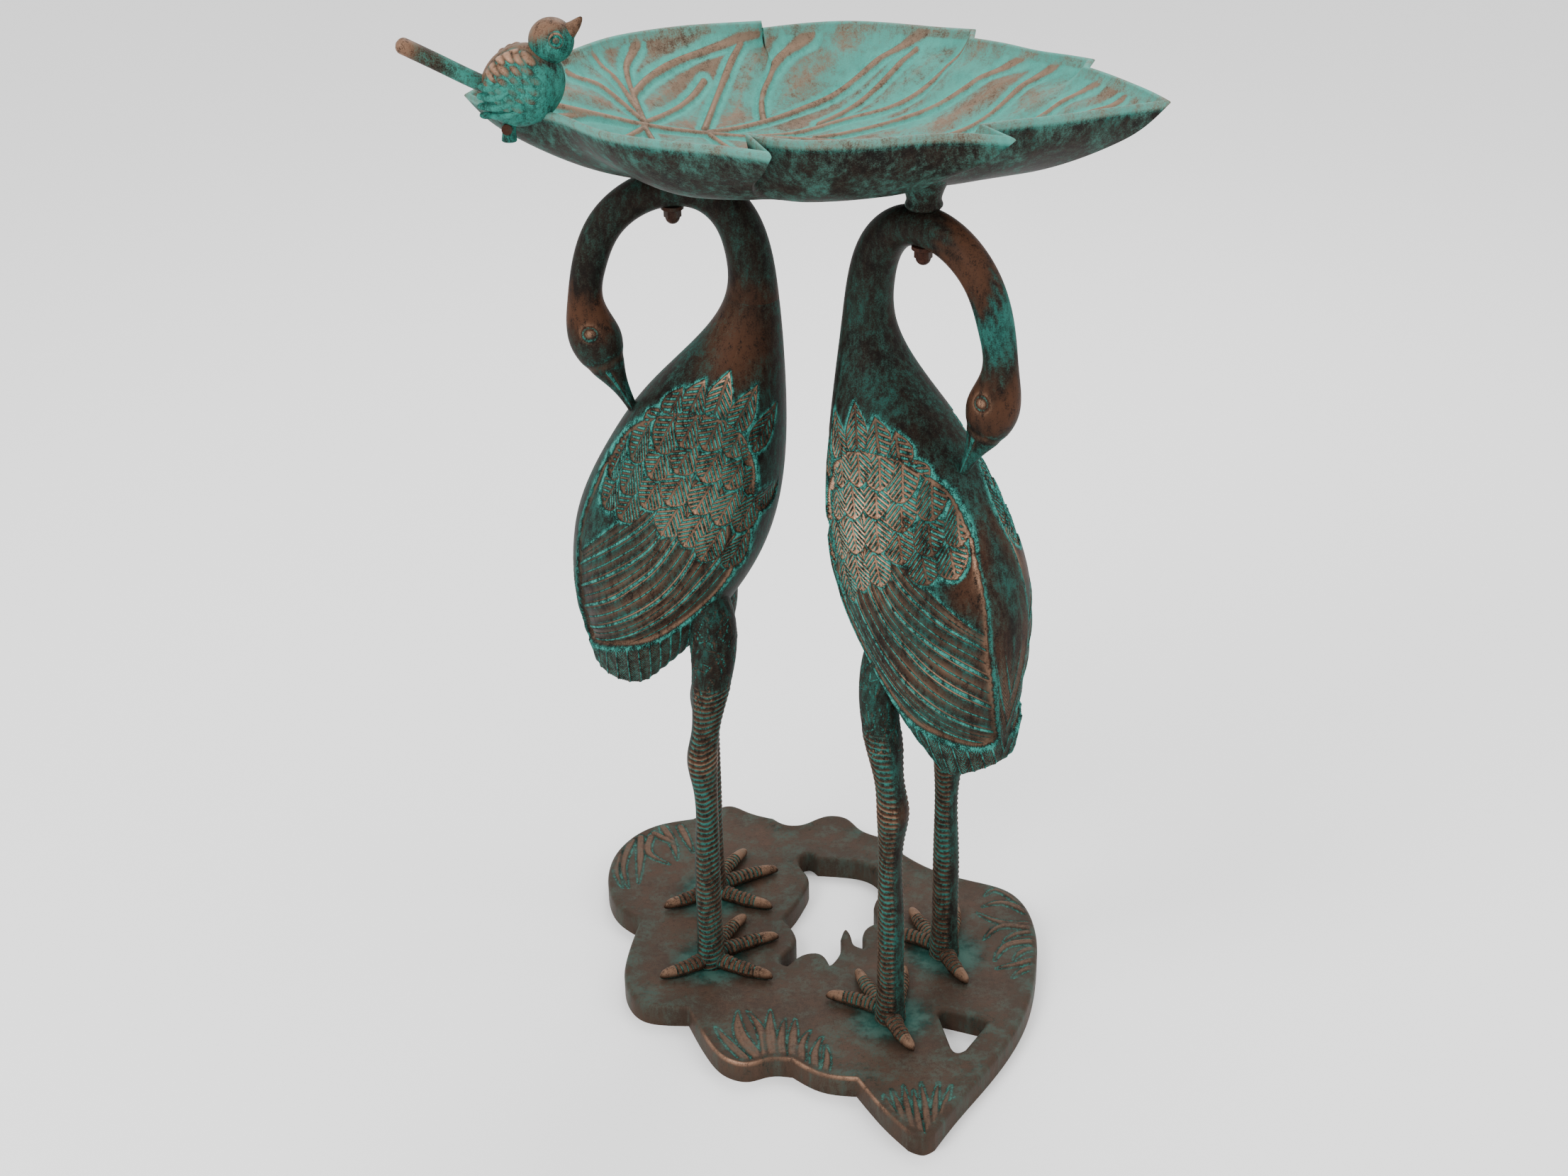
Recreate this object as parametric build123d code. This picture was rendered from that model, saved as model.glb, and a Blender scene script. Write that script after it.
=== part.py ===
from build123d import *
from collections import namedtuple
import math
import os

# Cast-metal bird bath: two cranes stand on a flat plate and carry a leaf-shaped bowl on the
# tops of their necks, with a small bird on the bowl's rim. Millimetres, +Z up. The origin is
# on the ground under the plate's middle. +X runs along the leaf towards its tip.

# Plate
PLATE_HEIGHT = 18.0          # ground to the plate's top face
PLATE_WEB = 7.0              # thickness of the top web over the hollow underside
PLATE_SKIRT = 8.0            # thickness of the skirt round the edge and round each hole
PLATE_CHORDS_PER_POINT = 3
PLATE_EDGE_STEP = 2.0        # the eased top edge: this far in and this far down
CUT_REACH = 200.0            # longer than any part that a cutter has to clear

# Heights above the plate's top face
NECK_SEAT = 634.0            # flat on top of each neck, where a bowl boss lands
NECK_UNDER = 608.0           # flat under each neck arch, where the washer sits
RIM = 701.0                  # bowl rim

# Cranes: foot midpoint and heading on the plate, heading measured from +X
LEFT_PLACE = (-64.0, 46.0)
LEFT_HEADING = 0.0
LEFT_TOES = (-27.0, 28.0, 64.0, 209.0)
RIGHT_PLACE = (93.0, -38.0)
RIGHT_HEADING = 135.0
RIGHT_TOES = (17.0, -22.0, -57.0, 155.0)
TOE_LENGTHS = (54.0, 60.0, 62.0, 44.0)
# Ankles of the left and the right leg as (forward, left) in the crane's frame
LEFT_ANKLES = ((1.5, 46.0), (1.5, -46.0))
RIGHT_ANKLES = ((-12.6, 38.0), (11.2, -50.8))
LEFT_TAIL_DROP = 0.0         # how much further down its spine each crane's tail reaches
RIGHT_TAIL_DROP = 12.0

# Legs
# Shank and knee stations above the ankle as (forward of the ankle, up, radius)
SHANK_STATIONS = ((0.0, 0.0, 11.0), (0.0, 25.0, 9.8), (0.0, 100.0, 9.2), (0.0, 168.0, 9.2), (-1.3, 190.0, 11.2))
# Thigh stations as (forward, from the middle plane, up, radius); the last two lie inside the body
THIGH_STATIONS = ((11.0, 41.0, 269.0, 16.0), (6.0, 31.0, 320.0, 17.0), (-6.0, 24.0, 350.0, 13.0))
HOCK = (208.0, 10.0, 0.15)   # above the knee: up, radius, share of the way from ankle to thigh
TOE_RADIUS = 6.5
CLAW_RADIUS = 2.5
TOE_SINK = 1.0               # flat sole: the toes are cut level this far above their underside

# Body: spine stations in the crane's middle plane as (forward, up, tilt from vertical,
# half depth fore and aft, half width across)
BODY_STATIONS = (
    (-56.0, 250.0, 20.0, 22.0, 28.0),
    (-45.0, 290.0, 20.0, 45.0, 51.0),
    (-25.0, 347.0, 21.0, 66.0, 64.0),
    (-1.0, 402.0, 22.0, 66.0, 63.0),
    (18.5, 455.0, 18.0, 52.0, 49.0),
    (37.0, 503.0, 13.0, 31.0, 30.5),
    (45.5, 541.0, 4.0, 18.8, 19.0),
)
BODY_WALL = 5.0

# Neck and head: centre line in the middle plane as (forward, up, half thickness)
NECK_STATIONS = (
    (45.5, 541.0, 18.8),
    (43.0, 575.0, 16.0),
    (33.0, 601.0, 15.0),
    (15.0, 617.0, 14.0),
    (-8.0, 621.0, 13.5),
    (-34.0, 613.0, 13.0),
    (-55.0, 594.0, 12.5),
    (-67.0, 566.0, 12.0),
    (-70.0, 538.0, 13.0),
    (-64.0, 509.0, 19.0),
    (-57.0, 488.0, 12.0),
    (-50.0, 474.0, 6.5),
    (-39.0, 451.0, 3.0),
)
HEAD_STATIONS = 5            # how many of the last stations are the head and beak
HEAD_FLATTEN = 0.86          # width across over thickness fore and aft
LEFT_STUD_FORWARD = -8.0     # bolt axis in each crane's frame
RIGHT_STUD_FORWARD = -3.0

# Fasteners
STUD_RADIUS = 4.0
STUD_HOLE_RADIUS = 4.3
STUD_INTO_BOSS = 12.0
WASHER_RADIUS = 8.0
WASHER_THICKNESS = 2.5
SPOT_FACE_RADIUS = 9.0       # flat cut round the stud hole under each neck arch
SPOT_FACE_DEPTH = 12.0
STUD_HOLE_REACH = 80.0       # through the arch from either side of its seat
NUT_RADIUS = 6.2
NUT_HEIGHT = 6.0
NUT_DOME_RADIUS = 5.2
STUD_INTO_NUT = 3.6
BOSS_RADIUS = 12.0
BOSS_HEIGHT = 24.0           # up to where the boss is lost in the bowl's floor
FOOT_BOLT_RADIUS = 3.0
FOOT_BOLT_HOLE_RADIUS = 3.3
FOOT_BOLT_INTO_LEG = 16.0
FOOT_HEAD_RADIUS = 5.5
FOOT_HEAD_HEIGHT = 4.0
FOOT_WASHER_RADIUS = 7.5
FOOT_WASHER_THICKNESS = 1.5

# Bowl: rim outline from the stem along one side to the tip and back along the other
LEAF_CENTRE = (15.0, 20.0)
LEAF_RIM = (
    (-203, 4), (-185, -18), (-160, -32), (-141, -44), (-125, -64), (-104, -85), (-80, -98), (-54, -108),
    (-28, -118), (-3, -131), (-19, -90), (-5, -99), (14, -106), (40, -107), (68, -104), (95, -98),
    (121, -98), (147, -107), (130, -80), (149, -73), (177, -65), (206, -54), (230, -45), (252, -37),
    (246, -22), (233, 3), (219, 26), (209, 40), (215, 58), (200, 68), (181, 79), (161, 97), (138, 113),
    (141, 135), (116, 142), (87, 153), (55, 161), (27, 159), (-9, 147), (-9, 166), (-36, 162), (-63, 157),
    (-91, 146), (-114, 132), (-135, 108), (-151, 84), (-168, 60), (-188, 34),
)
# Where each point of a tooth would lie if the leaf's edge were smooth
LEAF_SMOOTH = {
    (-80, -98): (-80, -93), (-54, -108): (-58, -96), (-28, -118): (-40, -97), (-3, -131): (-28, -96),
    (-19, -90): (-17, -97), (-5, -99): (-5, -100), (121, -98): (113, -92), (147, -107): (122, -87),
    (215, 58): (205, 47), (200, 68): (195, 60), (181, 79): (180, 76), (141, 135): (133, 119),
    (116, 142): (116, 132), (87, 153): (87, 149), (-9, 147): (-4, 157), (-9, 166): (-15, 157),
    (-36, 162): (-36, 156), (-63, 157): (-63, 153),
}
# Bowl levels as (height below the rim, outline scale along X, scale along Y, share of the tooth kept)
OUTER_LEVELS = (
    (60, 0.34, 0.40, 0),
    (56, 0.52, 0.58, 0),
    (45, 0.71, 0.77, 0.1),
    (28, 0.865, 0.90, 0.4),
    (12, 0.955, 0.97, 0.8),
    (0, 1.0, 1.0, 1),
)
BOWL_WALL = 5.0
INNER_SHRINK = 0.955
INNER_CLEAR = 20.0           # the hollow is cut this far above the rim

# Small bird, a casting of its own that sits over the rim near the stem
BIRD_SIDE = -30.0            # the bird's middle plane, as Y
# Body and head stations as (x, height, tilt from vertical, half depth, half width)
BIRD_STATIONS = (
    (-191.0, 717.0, 68.0, 5.0, 5.0),
    (-182.0, 719.0, 70.0, 13.0, 13.0),
    (-167.0, 721.0, 68.0, 20.0, 18.0),
    (-153.0, 726.0, 45.0, 18.5, 17.0),
    (-145.0, 736.0, 20.0, 13.5, 13.0),
    (-142.0, 747.0, 12.0, 13.5, 13.0),
    (-140.0, 758.0, 10.0, 6.0, 6.0),
)
BIRD_HEAD = (-141.0, -30.0, 749.0)
BIRD_BEAK_TIP = (-125.0, -30.0, 760.0)
BIRD_BEAK_RADII = (5.0, 1.2)
BIRD_TAIL_ROOT = (-180.0, -30.0, 722.0)
BIRD_TAIL_TIP = (-236.0, -30.0, 744.0)
BIRD_TAIL_RADII = (4.6, 3.6)
BIRD_LUG_RADIUS = 5.0
BIRD_LUG_TOP = 712.0
BIRD_LUG_BOTTOM = 684.0
BIRD_LUG = (-172.0, -31.0)
BIRD_SCREW_HEIGHT = 690.0
BIRD_SCREW_RADIUS = 1.5
BIRD_SCREW_HEAD_RADIUS = 3.5
BIRD_SCREW_HEAD_HEIGHT = 2.0
BIRD_SCREW_LENGTH = 16.0


def lift(height):
    """Height above the plate's top face, given from the ground."""
    return height + PLATE_HEIGHT


def place(shape, crane):
    """Move a shape from a crane's own frame (forward = +X, ankles at Y = +-spread) to the bath."""
    x, y = crane.place
    return Pos(x, y, PLATE_HEIGHT) * (Rot(0, 0, crane.heading) * shape)


def placed_point(point, crane):
    """The bath position of a point (forward, left, up) in a crane's own frame."""
    x, y = crane.place
    turn = math.radians(crane.heading)
    forward, left, up = point
    return (x + forward * math.cos(turn) - left * math.sin(turn),
            y + forward * math.sin(turn) + left * math.cos(turn),
            up + PLATE_HEIGHT)


Crane = namedtuple("Crane", "place heading ankles toes tail_drop stud_forward")
CRANES = {
    "left_crane": Crane(LEFT_PLACE, LEFT_HEADING, LEFT_ANKLES, LEFT_TOES, LEFT_TAIL_DROP, LEFT_STUD_FORWARD),
    "right_crane": Crane(
        RIGHT_PLACE, RIGHT_HEADING, RIGHT_ANKLES, RIGHT_TOES, RIGHT_TAIL_DROP, RIGHT_STUD_FORWARD),
}


# --- plate -----------------------------------------------------------------------------

# Each stretch is one smooth lobe edge; neighbours meet at a cusp
PLATE_EDGE = (
    ((-121, 57), (-138, 75), (-149, 108), (-142, 162), (-114, 194), (-82, 204)),
    ((-82, 204), (-66, 216), (-50, 223), (-34, 213), (-12, 202)),
    ((-12, 202), (-2, 193), (10, 192), (22, 199)),
    ((22, 199), (34, 205), (50, 201), (62, 183), (77, 172)),
    ((77, 172), (98, 144), (118, 124), (150, 106), (179, 90), (195, 50), (193, -5), (179, -66),
     (147, -130), (117, -176), (101, -203)),
    ((101, -203), (93, -208), (82, -203)),
    ((82, -203), (67, -181), (56, -161), (47, -143)),
    ((47, -143), (23, -138), (0, -120)),
    ((0, -120), (-18, -119), (-32, -124), (-48, -119), (-63, -98), (-79, -57)),
    ((-79, -57), (-95, -56), (-113, -51), (-128, -26), (-129, 12), (-121, 57)),
)
PLATE_HOLE = (
    ((10, 144), (17, 147), (24, 139)),
    ((24, 139), (45, 136), (66, 128), (76, 112), (75, 93), (68, 70), (73, 51)),
    ((73, 51), (62, 44), (58, 16)),
    ((58, 16), (52, 20), (48, 36), (45, 42), (40, 30)),
    ((40, 30), (38, 8), (31, -5)),
    ((31, -5), (22, 11), (14, 11), (-3, -5)),
    ((-3, -5), (-7, -2), (3, 20), (3, 40), (-5, 56)),
    ((-5, 56), (4, 72), (12, 92), (16, 114), (9, 133), (10, 144)),
)
PLATE_WINDOW = ((111, -62), (150, -79), (122, -122))
PLATE_WINDOW_CORNER = 6.0


def closed_outline(stretches):
    """A face whose edge follows each stretch's curve in short straight chords."""
    points = []
    for stretch in stretches:
        curve = Spline(*stretch)
        chords = PLATE_CHORDS_PER_POINT * (len(stretch) - 1)
        for index in range(chords):
            points.append(curve.position_at(index / chords))
    return Face(Wire.make_polygon(points, close=True))


def base_plate():
    outline = closed_outline(PLATE_EDGE)
    hole = closed_outline(PLATE_HOLE)
    window = make_face(FilletPolyline(*PLATE_WINDOW, radius=PLATE_WINDOW_CORNER, close=True))
    shoulder = offset(outline, -PLATE_EDGE_STEP, kind=Kind.ARC)
    up = (0, 0, 1)
    plate = extrude(outline, PLATE_HEIGHT - PLATE_EDGE_STEP, dir=up) + extrude(shoulder, PLATE_HEIGHT, dir=up)
    hollow = offset(outline, -PLATE_SKIRT, kind=Kind.ARC)
    depth = PLATE_HEIGHT - PLATE_WEB
    pocket = extrude(hollow, depth, dir=up)
    for opening in (hole, window):
        pocket = pocket - extrude(offset(opening, PLATE_SKIRT, kind=Kind.ARC), depth, dir=up)
        plate = plate - extrude(opening, PLATE_HEIGHT, dir=up)
    plate = plate - pocket
    for x, y in foot_points():
        plate = plate - Pos(x, y, 0) * Cylinder(FOOT_BOLT_HOLE_RADIUS, CUT_REACH)
    return plate


# --- cranes ----------------------------------------------------------------------------

def spine_loft(stations, shrink=0.0):
    """A smooth solid through ellipses square to the spine, in a crane's own frame."""
    sections = []
    for forward, up, tilt, deep, wide in stations:
        plane = Plane(origin=(forward, 0, up), x_dir=(math.cos(math.radians(tilt)), 0,
                      -math.sin(math.radians(tilt))), z_dir=(math.sin(math.radians(tilt)), 0,
                      math.cos(math.radians(tilt))))
        sections.append(plane * Ellipse(deep - shrink, wide - shrink))
    return loft(sections)


def body_outside(tail_drop):
    forward, up, tilt, deep, wide = BODY_STATIONS[0]
    tail = (forward - tail_drop * math.sin(math.radians(tilt)),
            up - tail_drop * math.cos(math.radians(tilt)), tilt, deep, wide)
    return spine_loft((tail, *BODY_STATIONS[1:]))


def neck_outside():
    sections = []
    count = len(NECK_STATIONS)
    for index, (forward, up, half) in enumerate(NECK_STATIONS):
        before = NECK_STATIONS[max(index - 1, 0)]
        after = NECK_STATIONS[min(index + 1, count - 1)]
        tangent = (after[0] - before[0], 0, after[1] - before[1])
        if index == 0:
            tilt = math.radians(BODY_STATIONS[-1][2])
            tangent = (math.sin(tilt), 0, math.cos(tilt))
        plane = Plane(origin=(forward, 0, up), x_dir=(0, 1, 0), z_dir=tangent)
        across = half * (BODY_STATIONS[-1][4] / BODY_STATIONS[-1][3] if index == 0 else 1.0)
        if index >= count - HEAD_STATIONS:
            across = half * HEAD_FLATTEN
        sections.append(plane * Ellipse(across, half))
    return loft(sections)


def crane_body(outside):
    return outside - spine_loft(BODY_STATIONS[1:-1], BODY_WALL)


def crane_neck(body, stud_forward):
    neck = neck_outside()
    seat_top = Pos(stud_forward, 0, NECK_SEAT) * Box(
        CUT_REACH, CUT_REACH, CUT_REACH, align=(Align.CENTER, Align.CENTER, Align.MIN))
    seat_under = Pos(stud_forward, 0, NECK_UNDER) * Cylinder(
        SPOT_FACE_RADIUS, SPOT_FACE_DEPTH, align=(Align.CENTER, Align.CENTER, Align.MAX))
    hole = Pos(stud_forward, 0, NECK_SEAT) * Cylinder(STUD_HOLE_RADIUS, STUD_HOLE_REACH)
    return neck - seat_top - seat_under - hole - body


def toe(angle, length):
    """One toe with its claw: a cone lying on the plate, cut flat under its sole."""
    run = length - CLAW_RADIUS
    shape = Pos(run / 2, 0, TOE_RADIUS - TOE_SINK) * (Rot(0, 90, 0) * Cone(TOE_RADIUS, CLAW_RADIUS, run))
    claw = Pos(run, 0, TOE_RADIUS - TOE_SINK) * Sphere(CLAW_RADIUS)
    shape = shape + claw
    droop = math.degrees(math.atan((TOE_RADIUS - CLAW_RADIUS) / run))
    shape = Pos(0, 0, TOE_RADIUS - TOE_SINK) * (
        Rot(0, droop, 0) * (Pos(0, 0, TOE_SINK - TOE_RADIUS) * shape))
    return Rot(0, 0, angle) * shape


def crane_leg(side, ankle, toes, body):
    """One leg casting: thigh, knee, shank and foot. Side is 1 for the left leg and -1 for the right."""
    forward, left = ankle
    sections = [Plane(origin=(forward + x, left, up)) * Circle(radius) for x, up, radius in SHANK_STATIONS]
    up, radius, share = HOCK
    thigh_x, thigh_y = THIGH_STATIONS[0][0], side * THIGH_STATIONS[0][1]
    hock_x = forward + (thigh_x - forward) * share
    hock_y = left + (thigh_y - left) * share
    sections.append(Plane(origin=(hock_x, hock_y, up)) * Circle(radius))
    for x, out, up, radius in THIGH_STATIONS:
        sections.append(Plane(origin=(x, side * out, up)) * Circle(radius))
    leg = loft(sections, ruled=True)
    for angle, length in zip(toes, TOE_LENGTHS):
        leg = leg + Pos(forward, left, 0) * toe(angle, length)
    below = Pos(forward, left, 0) * Box(
        CUT_REACH, CUT_REACH, CUT_REACH, align=(Align.CENTER, Align.CENTER, Align.MAX))
    bolt_hole = Pos(forward, left, 0) * Cylinder(
        FOOT_BOLT_RADIUS, FOOT_BOLT_INTO_LEG, align=(Align.CENTER, Align.CENTER, Align.MIN))
    return leg - below - bolt_hole - body


# --- bowl ------------------------------------------------------------------------------

def leaf_section(scale_x, scale_y, tooth_share, height):
    """The leaf's outline at one level: the rim drawn in towards its middle, teeth fading."""
    cx, cy = LEAF_CENTRE
    points = []
    for x, y in LEAF_RIM:
        smooth_x, smooth_y = LEAF_SMOOTH.get((x, y), (x, y))
        leaf_x = smooth_x + (x - smooth_x) * tooth_share
        leaf_y = smooth_y + (y - smooth_y) * tooth_share
        points.append((cx + (leaf_x - cx) * scale_x, cy + (leaf_y - cy) * scale_y, height))
    return Face(Wire.make_polygon(points, close=True))


def leaf_dish(levels, shrink, raise_by, top_extra):
    sections = []
    for depth, scale_x, scale_y, tooth_share in levels:
        height = lift(RIM) - depth + raise_by
        sections.append(leaf_section(scale_x * shrink, scale_y * shrink, tooth_share, height))
    if top_extra:
        sections.append(leaf_section(shrink, shrink, 1, lift(RIM) + raise_by + top_extra))
    return loft(sections, ruled=True)


def stud_axis(crane):
    x, y, _ = placed_point((crane.stud_forward, 0, 0), crane)
    return x, y


def leaf_bowl():
    bowl = leaf_dish(OUTER_LEVELS, 1.0, 0.0, 0.0)
    for crane in CRANES.values():
        x, y = stud_axis(crane)
        bowl = bowl + Pos(x, y, lift(NECK_SEAT)) * Cylinder(
            BOSS_RADIUS, BOSS_HEIGHT, align=(Align.CENTER, Align.CENTER, Align.MIN))
    bowl = bowl - leaf_dish(OUTER_LEVELS, INNER_SHRINK, BOWL_WALL, INNER_CLEAR)
    for crane in CRANES.values():
        x, y = stud_axis(crane)
        bowl = bowl - Pos(x, y, lift(NECK_SEAT)) * Cylinder(
            STUD_RADIUS, STUD_INTO_BOSS, align=(Align.CENTER, Align.CENTER, Align.MIN))
    return bowl - bird_screw(head=False)


# --- fasteners ---------------------------------------------------------------------------

def bowl_studs():
    low = NECK_UNDER - WASHER_THICKNESS - STUD_INTO_NUT
    length = NECK_SEAT + STUD_INTO_BOSS - low
    studs = []
    for crane in CRANES.values():
        x, y = stud_axis(crane)
        studs.append(Pos(x, y, lift(low)) * Cylinder(
            STUD_RADIUS, length, align=(Align.CENTER, Align.CENTER, Align.MIN)))
    return Compound(children=studs)


def stud_washers():
    washers = []
    for crane in CRANES.values():
        x, y = stud_axis(crane)
        ring = Cylinder(WASHER_RADIUS, WASHER_THICKNESS) - Cylinder(STUD_RADIUS, WASHER_THICKNESS)
        washers.append(Pos(x, y, lift(NECK_UNDER) - WASHER_THICKNESS / 2) * ring)
    return Compound(children=washers)


def dome_nuts():
    """Hexagonal nuts with a domed blind end, under the neck arches."""
    nuts = []
    for crane in CRANES.values():
        x, y = stud_axis(crane)
        body = extrude(RegularPolygon(NUT_RADIUS, 6), -NUT_HEIGHT)
        dome = Pos(0, 0, -NUT_HEIGHT) * Sphere(NUT_DOME_RADIUS)
        stud = Cylinder(STUD_RADIUS, STUD_INTO_NUT, align=(Align.CENTER, Align.CENTER, Align.MAX))
        nuts.append(Pos(x, y, lift(NECK_UNDER) - WASHER_THICKNESS) * (body + dome - stud))
    return Compound(children=nuts)


def foot_points():
    points = []
    for crane in CRANES.values():
        for forward, left in crane.ankles:
            x, y, _ = placed_point((forward, left, 0), crane)
            points.append((x, y))
    return points


def foot_bolts():
    bolts = []
    top = PLATE_HEIGHT - PLATE_WEB - FOOT_WASHER_THICKNESS
    for x, y in foot_points():
        shank = Pos(x, y, top) * Cylinder(
            FOOT_BOLT_RADIUS, lift(FOOT_BOLT_INTO_LEG) - top, align=(Align.CENTER, Align.CENTER, Align.MIN))
        head = Pos(x, y, top) * extrude(RegularPolygon(FOOT_HEAD_RADIUS, 6), -FOOT_HEAD_HEIGHT)
        bolts.append(shank + head)
    return Compound(children=bolts)


def foot_washers():
    washers = []
    for x, y in foot_points():
        ring = Cylinder(FOOT_WASHER_RADIUS, FOOT_WASHER_THICKNESS) - Cylinder(
            FOOT_BOLT_HOLE_RADIUS, FOOT_WASHER_THICKNESS)
        washers.append(Pos(x, y, PLATE_HEIGHT - PLATE_WEB - FOOT_WASHER_THICKNESS / 2) * ring)
    return Compound(children=washers)


# --- small bird --------------------------------------------------------------------------

def bird_screw(head=True):
    """The screw through the lug into the bowl's wall; without its head it cuts the hole."""
    x, y = BIRD_LUG
    start = y - BIRD_LUG_RADIUS
    screw = Cylinder(BIRD_SCREW_RADIUS, BIRD_SCREW_LENGTH, align=(Align.CENTER, Align.CENTER, Align.MIN))
    if head:
        screw = screw + Cylinder(
            BIRD_SCREW_HEAD_RADIUS, BIRD_SCREW_HEAD_HEIGHT, align=(Align.CENTER, Align.CENTER, Align.MAX))
    return Pos(x, start, lift(BIRD_SCREW_HEIGHT)) * (Rot(-90, 0, 0) * screw)


def round_bar(start, end, radius_start, radius_end):
    """A tapered round bar between two points, with round ends."""
    a = Vector(*start)
    b = Vector(*end)
    plane = Plane(origin=a, z_dir=b - a)
    length = (b - a).length
    bar = plane * Cone(radius_start, radius_end, length, align=(Align.CENTER, Align.CENTER, Align.MIN))
    return bar + Pos(*start) * Sphere(radius_start) + Pos(*end) * Sphere(radius_end)


def raised(point):
    return (point[0], point[1], lift(point[2]))


def small_bird(bowl):
    body = Pos(0, BIRD_SIDE, PLATE_HEIGHT) * spine_loft(BIRD_STATIONS)
    beak = round_bar(raised(BIRD_HEAD), raised(BIRD_BEAK_TIP), *BIRD_BEAK_RADII)
    tail = round_bar(raised(BIRD_TAIL_ROOT), raised(BIRD_TAIL_TIP), *BIRD_TAIL_RADII)
    x, y = BIRD_LUG
    lug = Pos(x, y, lift(BIRD_LUG_BOTTOM)) * Cylinder(
        BIRD_LUG_RADIUS, BIRD_LUG_TOP - BIRD_LUG_BOTTOM, align=(Align.CENTER, Align.CENTER, Align.MIN))
    bird = body + beak + tail + lug
    return bird - bowl - bird_screw()


def main():
    os.makedirs("parts", exist_ok=True)
    export_step(base_plate(), "parts/base_plate.step")
    for name, crane in CRANES.items():
        outside = body_outside(crane.tail_drop)
        export_step(place(crane_body(outside), crane), f"parts/{name}_body.step")
        neck = crane_neck(outside, crane.stud_forward)
        export_step(place(neck, crane), f"parts/{name}_neck.step")
        for side, ankle, label in zip((1, -1), crane.ankles, ("left_leg", "right_leg")):
            leg = crane_leg(side, ankle, crane.toes, outside)
            export_step(place(leg, crane), f"parts/{name}_{label}.step")
    bowl = leaf_bowl()
    export_step(bowl, "parts/leaf_bowl.step")
    export_step(bowl_studs(), "parts/bowl_studs.step")
    export_step(stud_washers(), "parts/stud_washers.step")
    export_step(dome_nuts(), "parts/dome_nuts.step")
    export_step(foot_bolts(), "parts/foot_bolts.step")
    export_step(foot_washers(), "parts/foot_washers.step")
    export_step(small_bird(bowl), "parts/small_bird.step")
    export_step(bird_screw(), "parts/bird_screw.step")


main()
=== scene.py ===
import bpy
import math
import numpy as np
from mathutils import Euler, Matrix, Vector
from mathutils.geometry import delaunay_2d_cdt


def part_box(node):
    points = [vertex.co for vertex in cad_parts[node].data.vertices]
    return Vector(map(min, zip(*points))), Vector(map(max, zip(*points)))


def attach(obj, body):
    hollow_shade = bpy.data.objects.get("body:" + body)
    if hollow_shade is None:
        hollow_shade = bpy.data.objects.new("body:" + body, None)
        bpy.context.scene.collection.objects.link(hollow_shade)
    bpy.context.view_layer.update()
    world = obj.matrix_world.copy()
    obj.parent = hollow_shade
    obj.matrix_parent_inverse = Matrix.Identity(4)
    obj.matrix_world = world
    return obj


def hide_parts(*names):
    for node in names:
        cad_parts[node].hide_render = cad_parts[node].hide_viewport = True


# Cast-metal bird bath: two cranes on a flat plate carry a leaf bowl, with a small bird on its rim.
# Lengths are in millimetres until a mesh is made. A crane's own frame has +X forward (its breast),
# +Y to its left and +Z up, with Z zero on the plate's top face.

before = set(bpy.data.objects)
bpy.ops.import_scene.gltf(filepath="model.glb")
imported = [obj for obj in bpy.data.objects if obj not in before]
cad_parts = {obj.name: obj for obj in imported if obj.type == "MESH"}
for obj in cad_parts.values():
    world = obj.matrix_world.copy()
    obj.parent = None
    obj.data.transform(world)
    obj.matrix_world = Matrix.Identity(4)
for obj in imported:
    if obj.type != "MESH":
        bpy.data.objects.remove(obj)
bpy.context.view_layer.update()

MM = 0.001
SEED = 7
PLATE_TOP = round(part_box("base_plate")[1].z / MM, 3)

# --- sizes ---------------------------------------------------------------------------------

RIM = 701.0                  # bowl rim above the plate's top face
NECK_SEAT = 634.0
LEFT_PLACE, LEFT_HEADING = (-64.0, 46.0), 0.0
RIGHT_PLACE, RIGHT_HEADING = (93.0, -38.0), 135.0
# Ankles of the left and the right leg as (forward, left) in the crane's frame
LEFT_ANKLES = ((1.5, 46.0), (1.5, -46.0))
RIGHT_ANKLES = ((-12.6, 38.0), (11.2, -50.8))
LEFT_TOES = (-27.0, 28.0, 64.0, 209.0)
RIGHT_TOES = (17.0, -22.0, -57.0, 155.0)
TOE_LENGTHS = (54.0, 60.0, 62.0, 44.0)
LEFT_STUD, RIGHT_STUD = -8.0, -3.0

# Crane spine: (forward, up, tilt of the ring from level, half depth fore and aft, half width)
BODY_STATIONS = (
    (-56, 250, 20, 22, 28), (-45, 290, 20, 45, 51), (-25, 347, 21, 66, 64), (-1, 402, 22, 66, 63),
    (18.5, 455, 18, 52, 49), (37, 503, 13, 31, 30.5), (45.5, 541, 4, 18.8, 19),
)
NECK_STATIONS = (
    (43, 575, -9, 16, 16), (33, 601, -33, 15, 15), (15, 617, -64, 14, 14),
    (-8, 621, -95, 13.5, 13.5), (-34, 613, -120, 13, 13), (-55, 594, -145, 12.5, 12.5),
    (-67, 566, -165, 12, 12), (-71, 538, -182, 13, 11.5), (-65, 509, -196, 18.5, 16),
    (-57, 488, -204, 12, 10), (-50, 474, -206, 6.5, 6), (-39, 451, -206, 3.2, 3),
)
NECK_ROOT = 6                # the station where the body casting ends and the neck casting starts

# Wing outline on a crane's side as (distance round from the side's middle, height)
WING_OUTLINE = (
    (-107, 349), (-106, 373), (-100, 398), (-92, 417), (-80, 434), (-64, 449), (-42, 460), (-21, 468),
    (0, 470), (14, 469), (27, 464), (38, 454), (46, 440), (51, 421), (52, 404), (48, 389), (44, 372),
    (40, 353), (31, 337), (20, 326), (1, 312), (-17, 301), (-33, 293), (-50, 288), (-67, 283), (-85, 276),
    (-97, 276), (-104, 295), (-107, 320),
)
WING_FADE = (50.0, 66.0)     # the plumage fades into the smooth breast between these distances
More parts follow.
